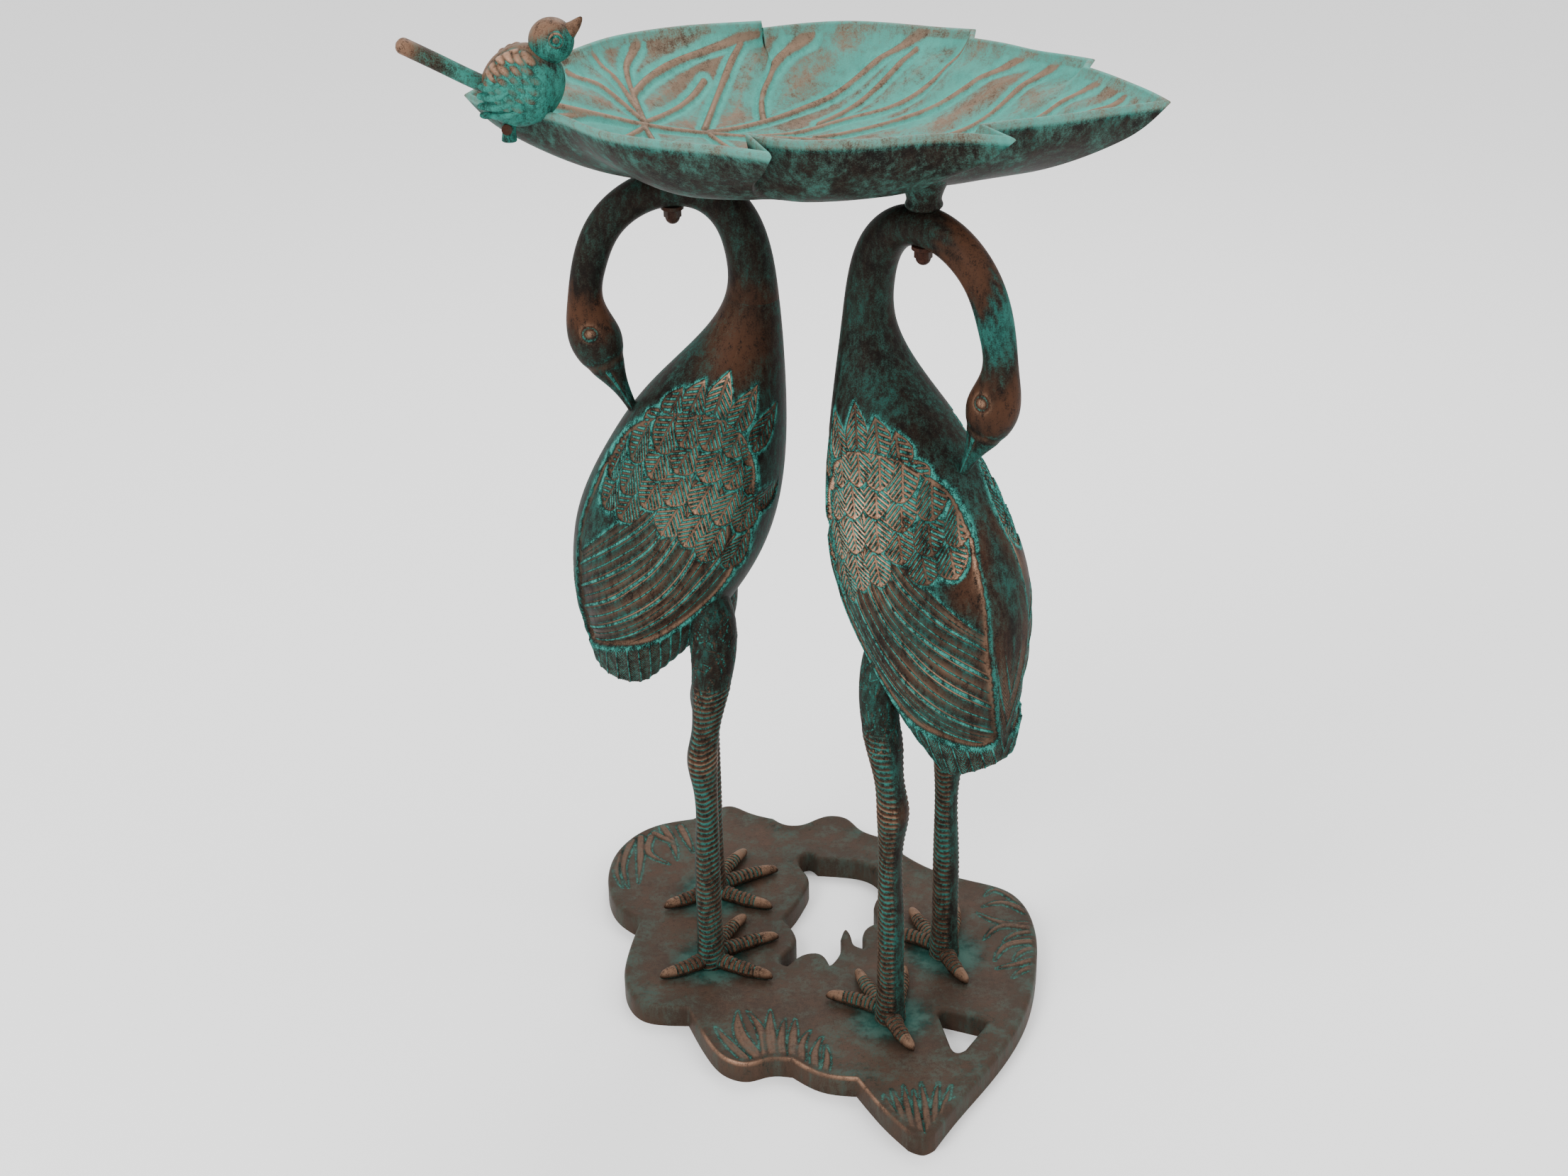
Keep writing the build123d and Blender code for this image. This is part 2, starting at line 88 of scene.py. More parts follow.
# Lines between the long wing feathers, front end first, top line to bottom line
PRIMARY_LINES = (
    ((-30, 419), (-40, 409), (-59, 392), (-78, 376), (-95, 362), (-108, 352)),
    ((-22, 408), (-31, 398), (-54, 379), (-74, 365), (-92, 353), (-108, 341)),
    ((-15, 401), (-31, 376), (-57, 355), (-75, 343), (-91, 333), (-108, 322)),
    ((-13, 381), (-31, 357), (-45, 345), (-58, 334), (-76, 322), (-94, 311), (-108, 301)),
    ((4, 370), (-12, 345), (-32, 326), (-58, 309), (-78, 297), (-98, 285), (-108, 279)),
    ((23, 359), (-3, 332), (-24, 315), (-50, 298), (-82, 281), (-104, 271)),
    ((36, 338), (1, 308), (-33, 289), (-60, 279), (-91, 267), (-106, 261)),
)
# Covert feather tips, rear column to front column, each column from the top down
COVERT_COLUMNS = (
    ((-84, 416), (-82, 396)),
    ((-58, 433), (-62, 411), (-61, 392)),
    ((-31, 443), (-36, 425), (-40, 404)),
    ((-10, 448), (-13, 430), (-20, 408), (-24, 385)),
    ((9, 446), (8, 424), (2, 401), (-6, 376)),
    ((28, 439), (28, 416), (20, 390), (8, 362)),
    ((44, 430), (46, 408), (38, 380), (30, 350)),
    ((58, 420), (58, 392)),
)
COVERT_LENGTH, COVERT_HALF_WIDTH = 37.0, 13.0
COVERT_LIFT, COVERT_STEP = 2.2, 0.5   # height of the lowest row, and of each row above it
COVERT_BARB = 0.75
# Leaf-shaped feathers round the root of the neck: (low tip, high tip)
COLLAR_LEAVES = (
    ((-41, 452), (-26, 470)), ((-23, 462), (-9, 485)), ((-3, 469), (10, 492)), ((16, 467), (29, 498)),
    ((32, 459), (50, 487)), ((48, 443), (69, 470)),
)
COLLAR_HALF_WIDTH = 10.5
COLLAR_OVERLAP = 4.0         # the wing covers this much of each collar leaf
COLLAR_LIFT, COLLAR_BARB = 1.5, 0.5
BARB_PITCH = 3.9
TAIL_PITCH, TAIL_BARB_PITCH = 8.5, 3.2
TAIL_SETBACK = 2.6           # the tail lies this far below the wing
WING_LIFT = 1.9
TOP_LINE_HEIGHT = 3.0

# Legs: shank and knee as (forward of the ankle, up, radius), thigh as (forward, from the middle
# plane, up, radius), and how far from ankle to thigh the leg has come at the stations between
SHANK_STATIONS = ((0, 0, 11.2), (0, 25, 9.9), (0, 100, 9.2), (0, 165, 9.2), (-1.2, 190, 11.2))
BETWEEN_STATIONS = ((0.15, 210, 10.2), (0.6, 240, 13.0))
LEFT_THIGH = ((11, 41, 269, 16.2), (6, 31, 320, 17.5), (-6, 24, 350, 13.0))
RIGHT_THIGH = ((2, 36, 269, 14.0), (0, 28, 320, 15.5), (-8, 22, 350, 13.0))
LEG_RING_PITCH = 4.5
TOE_RING_PITCH = 4.0

# Toe: (share of the length, height of the middle, half width, half height)
TOE_STATIONS = (
    (0.0, 6.5, 7.6, 7.4), (0.16, 5.4, 6.4, 5.9), (0.33, 5.2, 6.4, 6.0), (0.45, 4.9, 5.6, 5.4),
    (0.58, 4.8, 5.8, 5.5), (0.70, 4.5, 5.0, 5.0), (0.78, 4.6, 4.6, 4.9), (0.88, 4.2, 3.9, 4.4),
    (0.95, 3.2, 2.8, 3.4), (1.0, 1.6, 0.9, 1.4),
)
CLAW_START = 0.75
TOE_ROWS, TOE_COLUMNS = 130, 40

# Leaf bowl
LEAF_CENTRE = (15.0, 20.0)
LEAF_RIM = (
    (-203, 4), (-185, -18), (-160, -32), (-141, -44), (-125, -64), (-104, -85), (-80, -98), (-54, -108),
    (-28, -118), (-3, -131), (-19, -90), (-5, -99), (14, -106), (40, -107), (68, -104), (95, -98),
    (121, -98), (147, -107), (130, -80), (149, -73), (177, -65), (206, -54), (230, -45), (252, -37),
    (246, -22), (233, 3), (219, 26), (209, 40), (215, 58), (200, 68), (181, 79), (161, 97), (138, 113),
    (141, 135), (116, 142), (87, 153), (55, 161), (27, 159), (-9, 147), (-9, 166), (-36, 162), (-63, 157),
    (-91, 146), (-114, 132), (-135, 108), (-151, 84), (-168, 60), (-188, 34),
)
# Where each point of a tooth would lie if the leaf's edge were smooth
LEAF_SMOOTH = {
    (-80, -98): (-80, -93), (-54, -108): (-58, -96), (-28, -118): (-40, -97), (-3, -131): (-28, -96),
    (-19, -90): (-17, -97), (-5, -99): (-5, -100), (121, -98): (113, -92), (147, -107): (122, -87),
    (215, 58): (205, 47), (200, 68): (195, 60), (181, 79): (180, 76), (141, 135): (133, 119),
    (116, 142): (116, 132), (87, 153): (87, 149), (-9, 147): (-4, 157), (-9, 166): (-15, 157),
    (-36, 162): (-36, 156), (-63, 157): (-63, 153),
}
# Corners of the rim: the two ends of each tooth's short side, the stem's end and the leaf's tip
TOOTH_POINTS = (
    (-3, -131), (-19, -90), (147, -107), (130, -80), (209, 40), (215, 58), (138, 113), (141, 135),
    (-9, 147), (-9, 166), (-203, 4), (252, -37),
)
# Bowl section as (outline scale along Y, depth below the rim, scale along X, share of the teeth kept)
BOWL_LEVELS = (
    (0.0, 60.5, 0.0, 0.0), (0.40, 60.0, 0.34, 0.0), (0.58, 56.0, 0.52, 0.0), (0.77, 45.0, 0.71, 0.1),
    (0.90, 28.0, 0.865, 0.4), (0.97, 12.0, 0.955, 0.8), (1.0, 0.0, 1.0, 1.0),
)
INNER_LIFT = 6.2             # from the section line up to the inside of the bowl
INNER_DROP = 1.2             # and down to it where it meets the lip
OUTER_DROP = 1.0             # from the section line down to the outside
LIP_KEEP = 0.86              # share of the teeth kept along the lip's inner edge
LIP = 5.0
LIP_RISE = 1.6               # height of the rounded lip
VEIN_REACH = 26.0            # a vein shapes the floor this far to either side
# Veins as (half width, height, points in plan)
VEINS = (
    (3.2, 3.0, (-150, 42), (-89, 64), (-46, 69), (10, 62), (60, 50), (120, 30), (180, 4), (225, -20),
     (243, -31)),
    (2.6, 2.4, (-89, 68), (-108, 98), (-125, 109)),
    (2.6, 2.4, (-89, 68), (-116, 84), (-141, 80)),
    (2.6, 2.4, (-89, 68), (-98, 94), (-103, 118), (-96, 136)),
    (2.6, 2.6, (-98, 94), (-90, 112), (-60, 140), (-12, 158)),
    (2.4, 2.2, (-88, 70), (-67, 100), (-50, 126)),
    (2.2, 1.6, (-89, 66), (-115, 57), (-146, 36)),
    (2.8, 2.6, (-49, 76), (-40, 118), (-24, 152)),
    (2.8, 2.6, (-8, 90), (-7, 124), (9, 142), (27, 153)),
    (2.8, 2.6, (-46, 71), (-3, 93), (26, 111), (60, 130), (96, 140), (136, 132)),
    (2.2, 2.0, (30, 88), (67, 115), (99, 134)),
    (2.6, 2.4, (-20, 66), (8, 70), (41, 88), (85, 97), (105, 103), (132, 121)),
    (2.6, 2.4, (26, 61), (58, 72), (89, 79), (112, 82), (141, 86), (172, 80), (210, 57)),
    (2.4, 2.2, (90, 42), (145, 52), (177, 66), (190, 66)),
    (2.0, 1.8, (140, 26), (180, 25), (201, 27), (214, 22)),
    (2.0, 1.8, (175, 8), (205, 2), (226, -4)),
    (2.6, 2.2, (-89, 62), (-78, 20), (-84, -30), (-74, -84)),
    (2.6, 2.2, (-89, 62), (-110, 30), (-146, 2), (-178, -8)),
    (2.6, 2.2, (-46, 69), (-20, 10), (-18, -60), (-10, -116)),
    (2.6, 2.2, (10, 62), (40, 10), (52, -50), (62, -98)),
    (2.6, 2.2, (60, 50), (98, -2), (120, -52), (138, -94)),
    (2.4, 2.0, (120, 30), (158, -10), (190, -48)),
)

# Small bird, its middle plane at BIRD_SIDE
BIRD_SIDE = -30.0
BIRD_BODY = (-160.7, 717.0)          # middle of the egg-shaped body as (x, height)
BIRD_BODY_HALF = (28.5, 25.5, 20.0)  # half its length, depth and width
BIRD_BODY_TILT = 40.0                # degrees the breast end points up
BIRD_HEAD = (-140.9, 745.4)
BIRD_HEAD_RADIUS = 14.6

# Plate outline, one smooth lobe edge per stretch
PLATE_EDGE = (
    ((-121, 57), (-138, 75), (-149, 108), (-142, 162), (-114, 194), (-82, 204)),
    ((-82, 204), (-66, 216), (-50, 223), (-34, 213), (-12, 202)),
    ((-12, 202), (-2, 193), (10, 192), (22, 199)),
    ((22, 199), (34, 205), (50, 201), (62, 183), (77, 172)),
    ((77, 172), (98, 144), (118, 124), (150, 106), (179, 90), (195, 50), (193, -5), (179, -66),
     (147, -130), (117, -176), (101, -203)),
    ((101, -203), (93, -208), (82, -203)),
    ((82, -203), (67, -181), (56, -161), (47, -143)),
    ((47, -143), (23, -138), (0, -120)),
    ((0, -120), (-18, -119), (-32, -124), (-48, -119), (-63, -98), (-79, -57)),
    ((-79, -57), (-95, -56), (-113, -51), (-128, -26), (-129, 12), (-121, 57)),
)
PLATE_HOLE = (
    ((10, 144), (17, 147), (24, 139)),
    ((24, 139), (45, 136), (66, 128), (76, 112), (75, 93), (68, 70), (73, 51)),
    ((73, 51), (62, 44), (58, 16)),
    ((58, 16), (52, 20), (48, 36), (45, 42), (40, 30)),
    ((40, 30), (38, 8), (31, -5)),
    ((31, -5), (22, 11), (14, 11), (-3, -5)),
    ((-3, -5), (-7, -2), (3, 20), (3, 40), (-5, 56)),
    ((-5, 56), (4, 72), (12, 92), (16, 114), (9, 133), (10, 144)),
)
PLATE_WINDOW = (
    ((117, -65), (141, -75)), ((141, -75), (146, -80), (144, -87)), ((144, -87), (129, -111)),
    ((129, -111), (123, -114), (119, -108)), ((119, -108), (112, -70)), ((112, -70), (113, -65), (117, -65)),
)
PLATE_ROUND = 4.0            # radius of the plate's softened top edge
PLATE_UNDER = 11.0           # height of the hollow underside
PLATE_SKIRT = 8.0            # width of the edge that stands on the ground
PLATE_SPACING = 1.4          # between the mesh points of the plate's top

SHARP_EDGE = math.radians(75)

# --- numbers and shapes --------------------------------------------------------------------


def spline(knots, values, at):
    """Natural cubic spline through the rows of values, one row per knot, read at each of at."""
    knots = np.asarray(knots, float)
    values = np.asarray(values, float)
    gaps = np.diff(knots)
    count = len(knots)
    system = np.eye(count)
    right = np.zeros(values.shape)
    slopes = np.diff(values, axis=0) / gaps[:, None]
    for i in range(1, count - 1):
        system[i, i - 1:i + 2] = gaps[i - 1], 2 * (gaps[i - 1] + gaps[i]), gaps[i]
        right[i] = 6 * (slopes[i] - slopes[i - 1])
    bend = np.linalg.solve(system, right)
    k = np.clip(np.searchsorted(knots, at, side="right") - 1, 0, count - 2)
    t = (np.asarray(at) - knots[k])[:, None]
    gap = gaps[k][:, None]
    slope = slopes[k] - gap * (2 * bend[k] + bend[k + 1]) / 6
    return values[k] + slope * t + bend[k] / 2 * t ** 2 + (bend[k + 1] - bend[k]) / (6 * gap) * t ** 3


def along(points):
    """Distance along a row of points, from the first one."""
    points = np.asarray(points, float)
    steps = np.linalg.norm(np.diff(points, axis=0), axis=1)
    return np.concatenate([[0.0], np.cumsum(steps)])


def smooth_path(points, count):
    """A smooth line of count points through the given ones."""
    where = along(points)
    return spline(where, points, np.linspace(0, where[-1], count))


def smooth_step(low, high, x):
    t = np.clip((x - low) / (high - low), 0, 1)
    return t * t * (3 - 2 * t)


def bump(x, half):
    """1 at zero, falling smoothly to 0 at half on either side."""
    return np.cos(np.clip(np.abs(x) / half, 0, 1) * math.pi / 2) ** 2


def blurred(field, times):
    """The grid field softened times over; columns run round in a ring."""
    for _ in range(times):
        field = (np.roll(field, 1, 1) + 2 * field + np.roll(field, -1, 1)) / 4
        padded = np.pad(field, ((1, 1), (0, 0)), mode="edge")
        field = (padded[:-2] + 2 * field + padded[2:]) / 4
    return field


def to_lines(points, lines):
    """Distance from each point to the nearest of the straight stretches (start, end)."""
    best = np.full(points.shape[0], 1e9)
    for start, end in lines:
        run = end - start
        t = np.clip(((points - start) @ run) / max(run @ run, 1e-9), 0, 1)
        away = points - start - t[:, None] * run
        best = np.minimum(best, (away ** 2).sum(1))
    return np.sqrt(best)


def stretches(outline):
    return list(zip(outline, np.roll(outline, -1, axis=0)))


def inside(points, outline):
    """True for each point that lies inside the closed outline."""
    x, y = points[:, 0], points[:, 1]
    result = np.zeros(len(points), bool)
    for (x1, y1), (x2, y2) in stretches(outline):
        if y1 == y2:
            continue
        crosses = (y1 > y) != (y2 > y)
        result ^= crosses & (x < (x2 - x1) * (y - y1) / (y2 - y1) + x1)
    return result


def signed(points, outline):
    """Distance to the closed outline, positive inside."""
    away = to_lines(points, stretches(outline))
    return np.where(inside(points, outline), away, -away)



# --- meshes --------------------------------------------------------------------------------


def mesh_piece(name, points, faces, material, fields, replaced):
    """A smooth-shaded piece from points in millimetres, shown instead of the CAD node replaced."""
    mesh = bpy.data.meshes.new(name)
    mesh.from_pydata((points * MM).tolist(), [], faces)
    for key, values in fields.items():
        layer = mesh.attributes.new(key, "FLOAT", "POINT")
        layer.data.foreach_set("value", np.asarray(values, np.float32).ravel())
    mesh.shade_smooth()
    mesh.set_sharp_from_angle(angle=SHARP_EDGE)
    mesh.materials.append(material)
    piece = bpy.data.objects.new(name, mesh)
    bpy.context.scene.collection.objects.link(piece)
    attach(piece, "root")
    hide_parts(replaced)


def ring_faces(rows, columns, caps=True):
    """Faces of a tube whose rings have the given number of columns."""
    index = np.arange(rows * columns).reshape(rows, columns)
    after = np.roll(index, -1, axis=1)
    faces = np.stack([index[:-1], after[:-1], after[1:], index[1:]], -1).reshape(-1, 4).tolist()
    if caps:
        faces.append(index[0][::-1].tolist())
        faces.append(index[-1].tolist())
    return faces


def normals_of(grid):
    """Unit normals of a grid of rings, pointing out for rings that turn left going up."""
    around = np.roll(grid, -1, axis=1) - np.roll(grid, 1, axis=1)
    upward = np.gradient(grid, axis=0)
    normal = np.cross(around, upward)
    size = np.linalg.norm(normal, axis=-1, keepdims=True)
    return normal / np.maximum(size, 1e-9)


def oval_tube(centres, wide, high, side, columns=32):
    """Rings of an oval tube: side is the level direction across it at every centre."""
    centres = np.asarray(centres, float)
    side = np.asarray(side, float)
    run = np.gradient(centres, axis=0)
    run /= np.linalg.norm(run, axis=1, keepdims=True)
    across = side - (run @ side)[:, None] * run
    across /= np.linalg.norm(across, axis=1, keepdims=True)
    rise = np.cross(run, across)
    turn = np.linspace(0, 2 * math.pi, columns, endpoint=False)
    return (centres[:, None]
            + np.asarray(wide)[:, None, None] * across[:, None] * np.cos(turn)[None, :, None]
            + np.asarray(high)[:, None, None] * rise[:, None] * np.sin(turn)[None, :, None])


def crest_and_hollow(relief, times=6, scale=0.22):
    """-1 in grooves to 1 on crests, from how far the relief stands above its surroundings."""
    return np.clip((relief - blurred(relief, times)) / scale, -1, 1)


def placed(points, place, heading):
    """Points of a crane's own frame moved to its place on the bath."""
    turn = math.radians(heading)
    cos, sin = math.cos(turn), math.sin(turn)
    x = place[0] + points[..., 0] * cos - points[..., 1] * sin
    y = place[1] + points[..., 0] * sin + points[..., 1] * cos
    return np.stack([x, y, points[..., 2] + PLATE_TOP], -1)


# --- materials -----------------------------------------------------------------------------


def node(tree, kind, inputs=None, **settings):
    """Adds a shader node; inputs are set by name or number to a value or linked to a socket."""
    made = tree.nodes.new(kind)
    for key, value in settings.items():
        setattr(made, key, value)
    for key, value in (inputs or {}).items():
        if isinstance(value, bpy.types.NodeSocket):
            tree.links.new(value, made.inputs[key])
        else:
            made.inputs[key].default_value = value
    return made


def maths(tree, operation, first, second=0.0, clamp=False):
    made = node(tree, "ShaderNodeMath", {0: first, 1: second}, operation=operation, use_clamp=clamp)
    return made.outputs[0]


def total(tree, *terms):
    """Sum of sockets, each times its weight."""
    result = 0.0
    for socket, weight in terms:
        inputs = {0: socket, 1: weight, 2: result}
        result = node(tree, "ShaderNodeMath", inputs, operation="MULTIPLY_ADD").outputs[0]
    return result


def ramp(tree, value, low, high):
    """Value stretched so that low gives 0 and high gives 1."""
    inputs = {"Value": value, "From Min": low, "From Max": high}
    return node(tree, "ShaderNodeMapRange", inputs, interpolation_type="SMOOTHSTEP").outputs[0]


def blend_colour(tree, share, first, second):
    made = node(tree, "ShaderNodeMix", {0: share}, data_type="RGBA")
    for socket, value in ((6, first), (7, second)):
        if isinstance(value, bpy.types.NodeSocket):
            tree.links.new(value, made.inputs[socket])
        else:
            made.inputs[socket].default_value = (*value, 1.0)
    return made.outputs[2]


def noise(tree, place, scale, detail=4.0, rough=0.55, stretch=(1, 1, 1), shift=0.0):
    """Cloud noise about 0.5; scale is in features per metre."""
    moved = node(tree, "ShaderNodeMapping", {"Vector": place, "Scale": stretch, "Location": (shift,) * 3})
    inputs = {"Vector": moved.outputs[0], "Scale": scale, "Detail": detail, "Roughness": rough}
    return node(tree, "ShaderNodeTexNoise", inputs).outputs[0]


def field(tree, key):
    return node(tree, "ShaderNodeAttribute", attribute_name=key).outputs["Fac"]


DARK_BROWN = (0.0065, 0.0055, 0.0048)
BROWN = (0.026, 0.0145, 0.0095)
RUST = (0.056, 0.025, 0.014)
COPPER = (0.50, 0.30, 0.195)
DARK_TEAL = (0.0050, 0.0125, 0.0105)
TEAL = (0.011, 0.029, 0.0235)
TURQUOISE = (0.050, 0.300, 0.250)
PALE_METAL = (0.185, 0.130, 0.092)
PALE_TEAL = (0.13, 0.43, 0.36)


def cast_metal(name, patina, bright, copper, dark=DARK_BROWN, brown=BROWN, rust=RUST, green=TEAL,
               bluest=TURQUOISE, shift=0.0, rough=0.52, mottle=0.5):
    """Worn brown metal with verdigris.

    patina is the verdigris's share, bright how far it goes to turquoise, copper how brightly the
    crests are rubbed and mottle how strongly large clouds part it. The mesh says where crests are worn and
    grooves lie, which also take a painted shade (wear_and_shade, from -1 in grooves to 1 on crests), green
    (teal), rubbed brown, in places also a painted highlight (warm), or faded (pale).
    """
    material = bpy.data.materials.new(name)
    material.use_nodes = True
    tree = material.node_tree
    shader = tree.nodes["Principled BSDF"]
    place = node(tree, "ShaderNodeTexCoord").outputs["Object"]
    wear_and_shade, teal, warm, pale = (field(tree, key) for key in ("wear_and_shade", "teal", "warm", "pale"))
    groove = maths(tree, "MAXIMUM", maths(tree, "MULTIPLY", wear_and_shade, -1.0), 0.0)
    crest = maths(tree, "MAXIMUM", wear_and_shade, 0.0)
    warm = maths(tree, "MULTIPLY", warm, maths(tree, "SUBTRACT", 1.0, groove))
    clouds = noise(tree, place, 22, 6, 0.65, shift=shift)
    streaks = noise(tree, place, 70, 5, 0.65, (1, 1, 0.2), shift + 3)
    brushed = noise(tree, place, 240, 5, 0.7, (1, 1, 0.45), shift + 5)
    speckle = noise(tree, place, 1100, 2, 0.6, shift=shift + 9)
    fine = total(tree, (brushed, 0.6), (speckle, 0.4))
    tone = total(tree, (clouds, 0.35), (fine, 0.65))
    # Where the verdigris lies
    lies = total(tree, (clouds, mottle), (streaks, 0.50), (fine, 1.05), (teal, 0.50), (groove, 0.62),
                 (crest, -0.20), (warm, -0.30))
    middle = 0.775 + 0.5 * mottle + 0.6 * (0.5 - patina)
    share = ramp(tree, lies, middle - 0.22, middle + 0.22)
    # Verdigris colour, turquoise in the hollows and where it has been left thick
    broken = ramp(tree, fine, 0.40, 0.58)
    caught = maths(tree, "ADD", maths(tree, "MULTIPLY", groove, 0.85), bright)
    caught = maths(tree, "MULTIPLY", caught, broken)
    strength = maths(tree, "ADD", total(tree, (caught, 1.0), (teal, 0.40)), bright * 0.4 - 0.10, clamp=True)
    verdigris = blend_colour(tree, ramp(tree, streaks, 0.38, 0.62), DARK_TEAL, green)
    verdigris = blend_colour(tree, maths(tree, "MULTIPLY", pale, 0.5), verdigris, PALE_TEAL)
    verdigris = blend_colour(tree, strength, verdigris, bluest)
    # Metal colour, copper where it is rubbed bright, which in places is also a painted highlight
    metal = blend_colour(tree, ramp(tree, tone, 0.40, 0.62), dark, brown)
    worn = maths(tree, "MULTIPLY", warm, ramp(tree, fine, 0.34, 0.52), clamp=True)
    metal = blend_colour(tree, worn, metal, rust)
    faded = maths(tree, "MULTIPLY", pale, ramp(tree, tone, 0.26, 0.54))
    metal = blend_colour(tree, faded, metal, PALE_METAL)
    rubbed = maths(tree, "ADD", maths(tree, "MULTIPLY", warm, 0.9 * copper), 0.16 * copper)
    shine = maths(tree, "MULTIPLY", crest, ramp(tree, tone, 0.36, 0.56))
    shine = maths(tree, "MULTIPLY", shine, rubbed, clamp=True)
    metal = blend_colour(tree, shine, metal, COPPER)
    bare = maths(tree, "SUBTRACT", 1.0, maths(tree, "MULTIPLY", shine, 0.7))
    share = maths(tree, "MULTIPLY", share, bare)
    colour = blend_colour(tree, share, metal, verdigris)
    # Painted shade: deep hollows are darkened where the verdigris has not caught
    hollow_shade = maths(tree, "SUBTRACT", 0.5, maths(tree, "MULTIPLY", broken, 0.4))
    colour = blend_colour(tree, maths(tree, "MULTIPLY", groove, hollow_shade), colour, dark)
    tree.links.new(colour, shader.inputs["Base Color"])
    tree.links.new(maths(tree, "ADD", maths(tree, "MULTIPLY", shine, 0.6), 0.02), shader.inputs["Metallic"])
    inputs = {"Value": maths(tree, "SUBTRACT", share, shine), "From Min": -1.0,
              "To Min": rough - 0.2, "To Max": rough + 0.12}
    tree.links.new(node(tree, "ShaderNodeMapRange", inputs).outputs[0], shader.inputs["Roughness"])
    shader.inputs["Specular IOR Level"].default_value = 0.04
    raised = node(tree, "ShaderNodeBump", {"Height": fine, "Strength": 0.5, "Distance": 0.0007})
    tree.links.new(raised.outputs[0], shader.inputs["Normal"])
    return material


crane_metal = cast_metal("crane_metal", 0.43, 0.14, 1.25, mottle=0.7)
bowl_metal = cast_metal(
    "bowl_metal", 0.50, 0.16, 0.45, brown=(0.036, 0.023, 0.016), rust=(0.150, 0.098, 0.066),
    green=(0.030, 0.069, 0.056), bluest=(0.065, 0.430, 0.355), shift=40, mottle=0.9)
bird_metal = cast_metal(
    "bird_metal", 0.52, 0.26, 0.9, rust=(0.115, 0.062, 0.038), green=(0.022, 0.075, 0.060),
    bluest=(0.040, 0.330, 0.265), shift=60)
plate_metal = cast_metal(
    "plate_metal", 0.38, 0.03, 0.8, dark=(0.034, 0.023, 0.017), brown=(0.082, 0.046, 0.031),
    rust=(0.095, 0.046, 0.029), green=(0.034, 0.052, 0.043), bluest=(0.045, 0.190, 0.155),
    shift=80, rough=0.46)
nut_metal = cast_metal(
    "nut_metal", 0.22, 0.1, 0.3, dark=(0.016, 0.009, 0.007), brown=(0.052, 0.020, 0.013),
    shift=100, rough=0.4)
bolt_metal = cast_metal(
    "bolt_metal", 0.15, 0.1, 0.2, dark=(0.16, 0.15, 0.14), brown=(0.36, 0.34, 0.32), shift=120, rough=0.35)


# --- cranes --------------------------------------------------------------------------------


def spine(tail_drop):
    """Spine stations with their distance along it; the tail end may reach further down."""
    rows = np.array(BODY_STATIONS + NECK_STATIONS, float)
    tilt = math.radians(rows[0, 2])
    rows[0, :2] -= tail_drop * math.sin(tilt), tail_drop * math.cos(tilt)
    return along(rows[:, :2]), rows


def spine_rings(where, tail_drop, columns, crowd=0.0):
    """Rings in the crane's own frame, with the angle from the back (0) round to the breast (pi).

    The points crowd together on the sides, the more so the larger crowd is.
    """
    knots, rows = spine(tail_drop)
    forward, up, tilt, deep, wide = spline(knots, rows, where).T
    tilt = np.radians(tilt)[:, None]
    turn = np.linspace(0, 2 * math.pi, columns, endpoint=False)[None, :]
    turn = turn + crowd * np.sin(2 * turn)
    deep, wide = deep[:, None], wide[:, None]
    x = forward[:, None] - np.cos(tilt) * deep * np.cos(turn)
    z = up[:, None] + np.sin(tilt) * deep * np.cos(turn)
    y = wide * np.sin(turn) + 0 * x
    return np.stack([x, y, z], -1), forward, deep, wide, turn


def distance_round(forward, deep, wide, turn):
    """How far round its ring each point is from the middle of the side, forward being positive."""
    fine = np.linspace(0, math.pi, 361)
    speed = np.sqrt((deep * np.sin(fine)) ** 2 + (wide * np.cos(fine)) ** 2)
    steps = (speed[:, 1:] + speed[:, :-1]) / 2 * (fine[1] - fine[0])
    reach = np.concatenate([np.zeros((len(deep), 1)), np.cumsum(steps, axis=1)], 1)
    reach -= reach[:, len(fine) // 2, None]
    angle = np.abs((turn[0] + math.pi) % (2 * math.pi) - math.pi)
    rows = [np.interp(angle, fine, row) for row in reach]
    return np.array(rows) + forward[:, None]


def feather(relief, across, along_it, length, half, lift, barb):
    """Lays one feather over the relief: along_it runs from its tip to its root."""
    share = np.clip(along_it / length, 0, 1)
    width = half * np.sin(math.pi * share ** 0.68) ** 1.05
    width = np.where((along_it > 0) & (along_it < length), width, 0)
    edge = width - np.abs(across)
    cover = smooth_step(-0.1, 0.9, edge)
    body = lift * (1.05 - 0.75 * share) + 0.6 * (1 - (across / half) ** 2)
    margin = 0.25 * bump(edge - 0.9, 0.9)
    midrib = 0.55 * bump(across, 1.5) - 0.25 * bump(across, 0.5)
    barbs = barb * np.cos((along_it + 0.85 * np.abs(across)) * 2 * math.pi / BARB_PITCH)
    barbs *= smooth_step(0.7, 1.8, np.abs(across)) * smooth_step(0.6, 1.8, edge)
    return relief * (1 - cover) + (body + margin + midrib + barbs) * cover


def line_number(x, z):
    """Which long-feather line a point lies on, 0 for the top line, with fractions in between."""
    heights = []
    for line in PRIMARY_LINES:
        points = smooth_path(line[::-1], 40)
        steep = (points[-1, 1] - points[-2, 1]) / (points[-1, 0] - points[-2, 0])
        beyond = np.maximum(x - points[-1, 0], 0)
        heights.append(np.interp(x, points[:, 0], points[:, 1]) + beyond * steep)
    heights = np.array(heights)
    number = np.zeros(x.shape)
    for k in range(len(heights) - 1):
        number += np.clip((heights[k] - z) / np.maximum(heights[k] - heights[k + 1], 1.0), 0, 1)
    return number


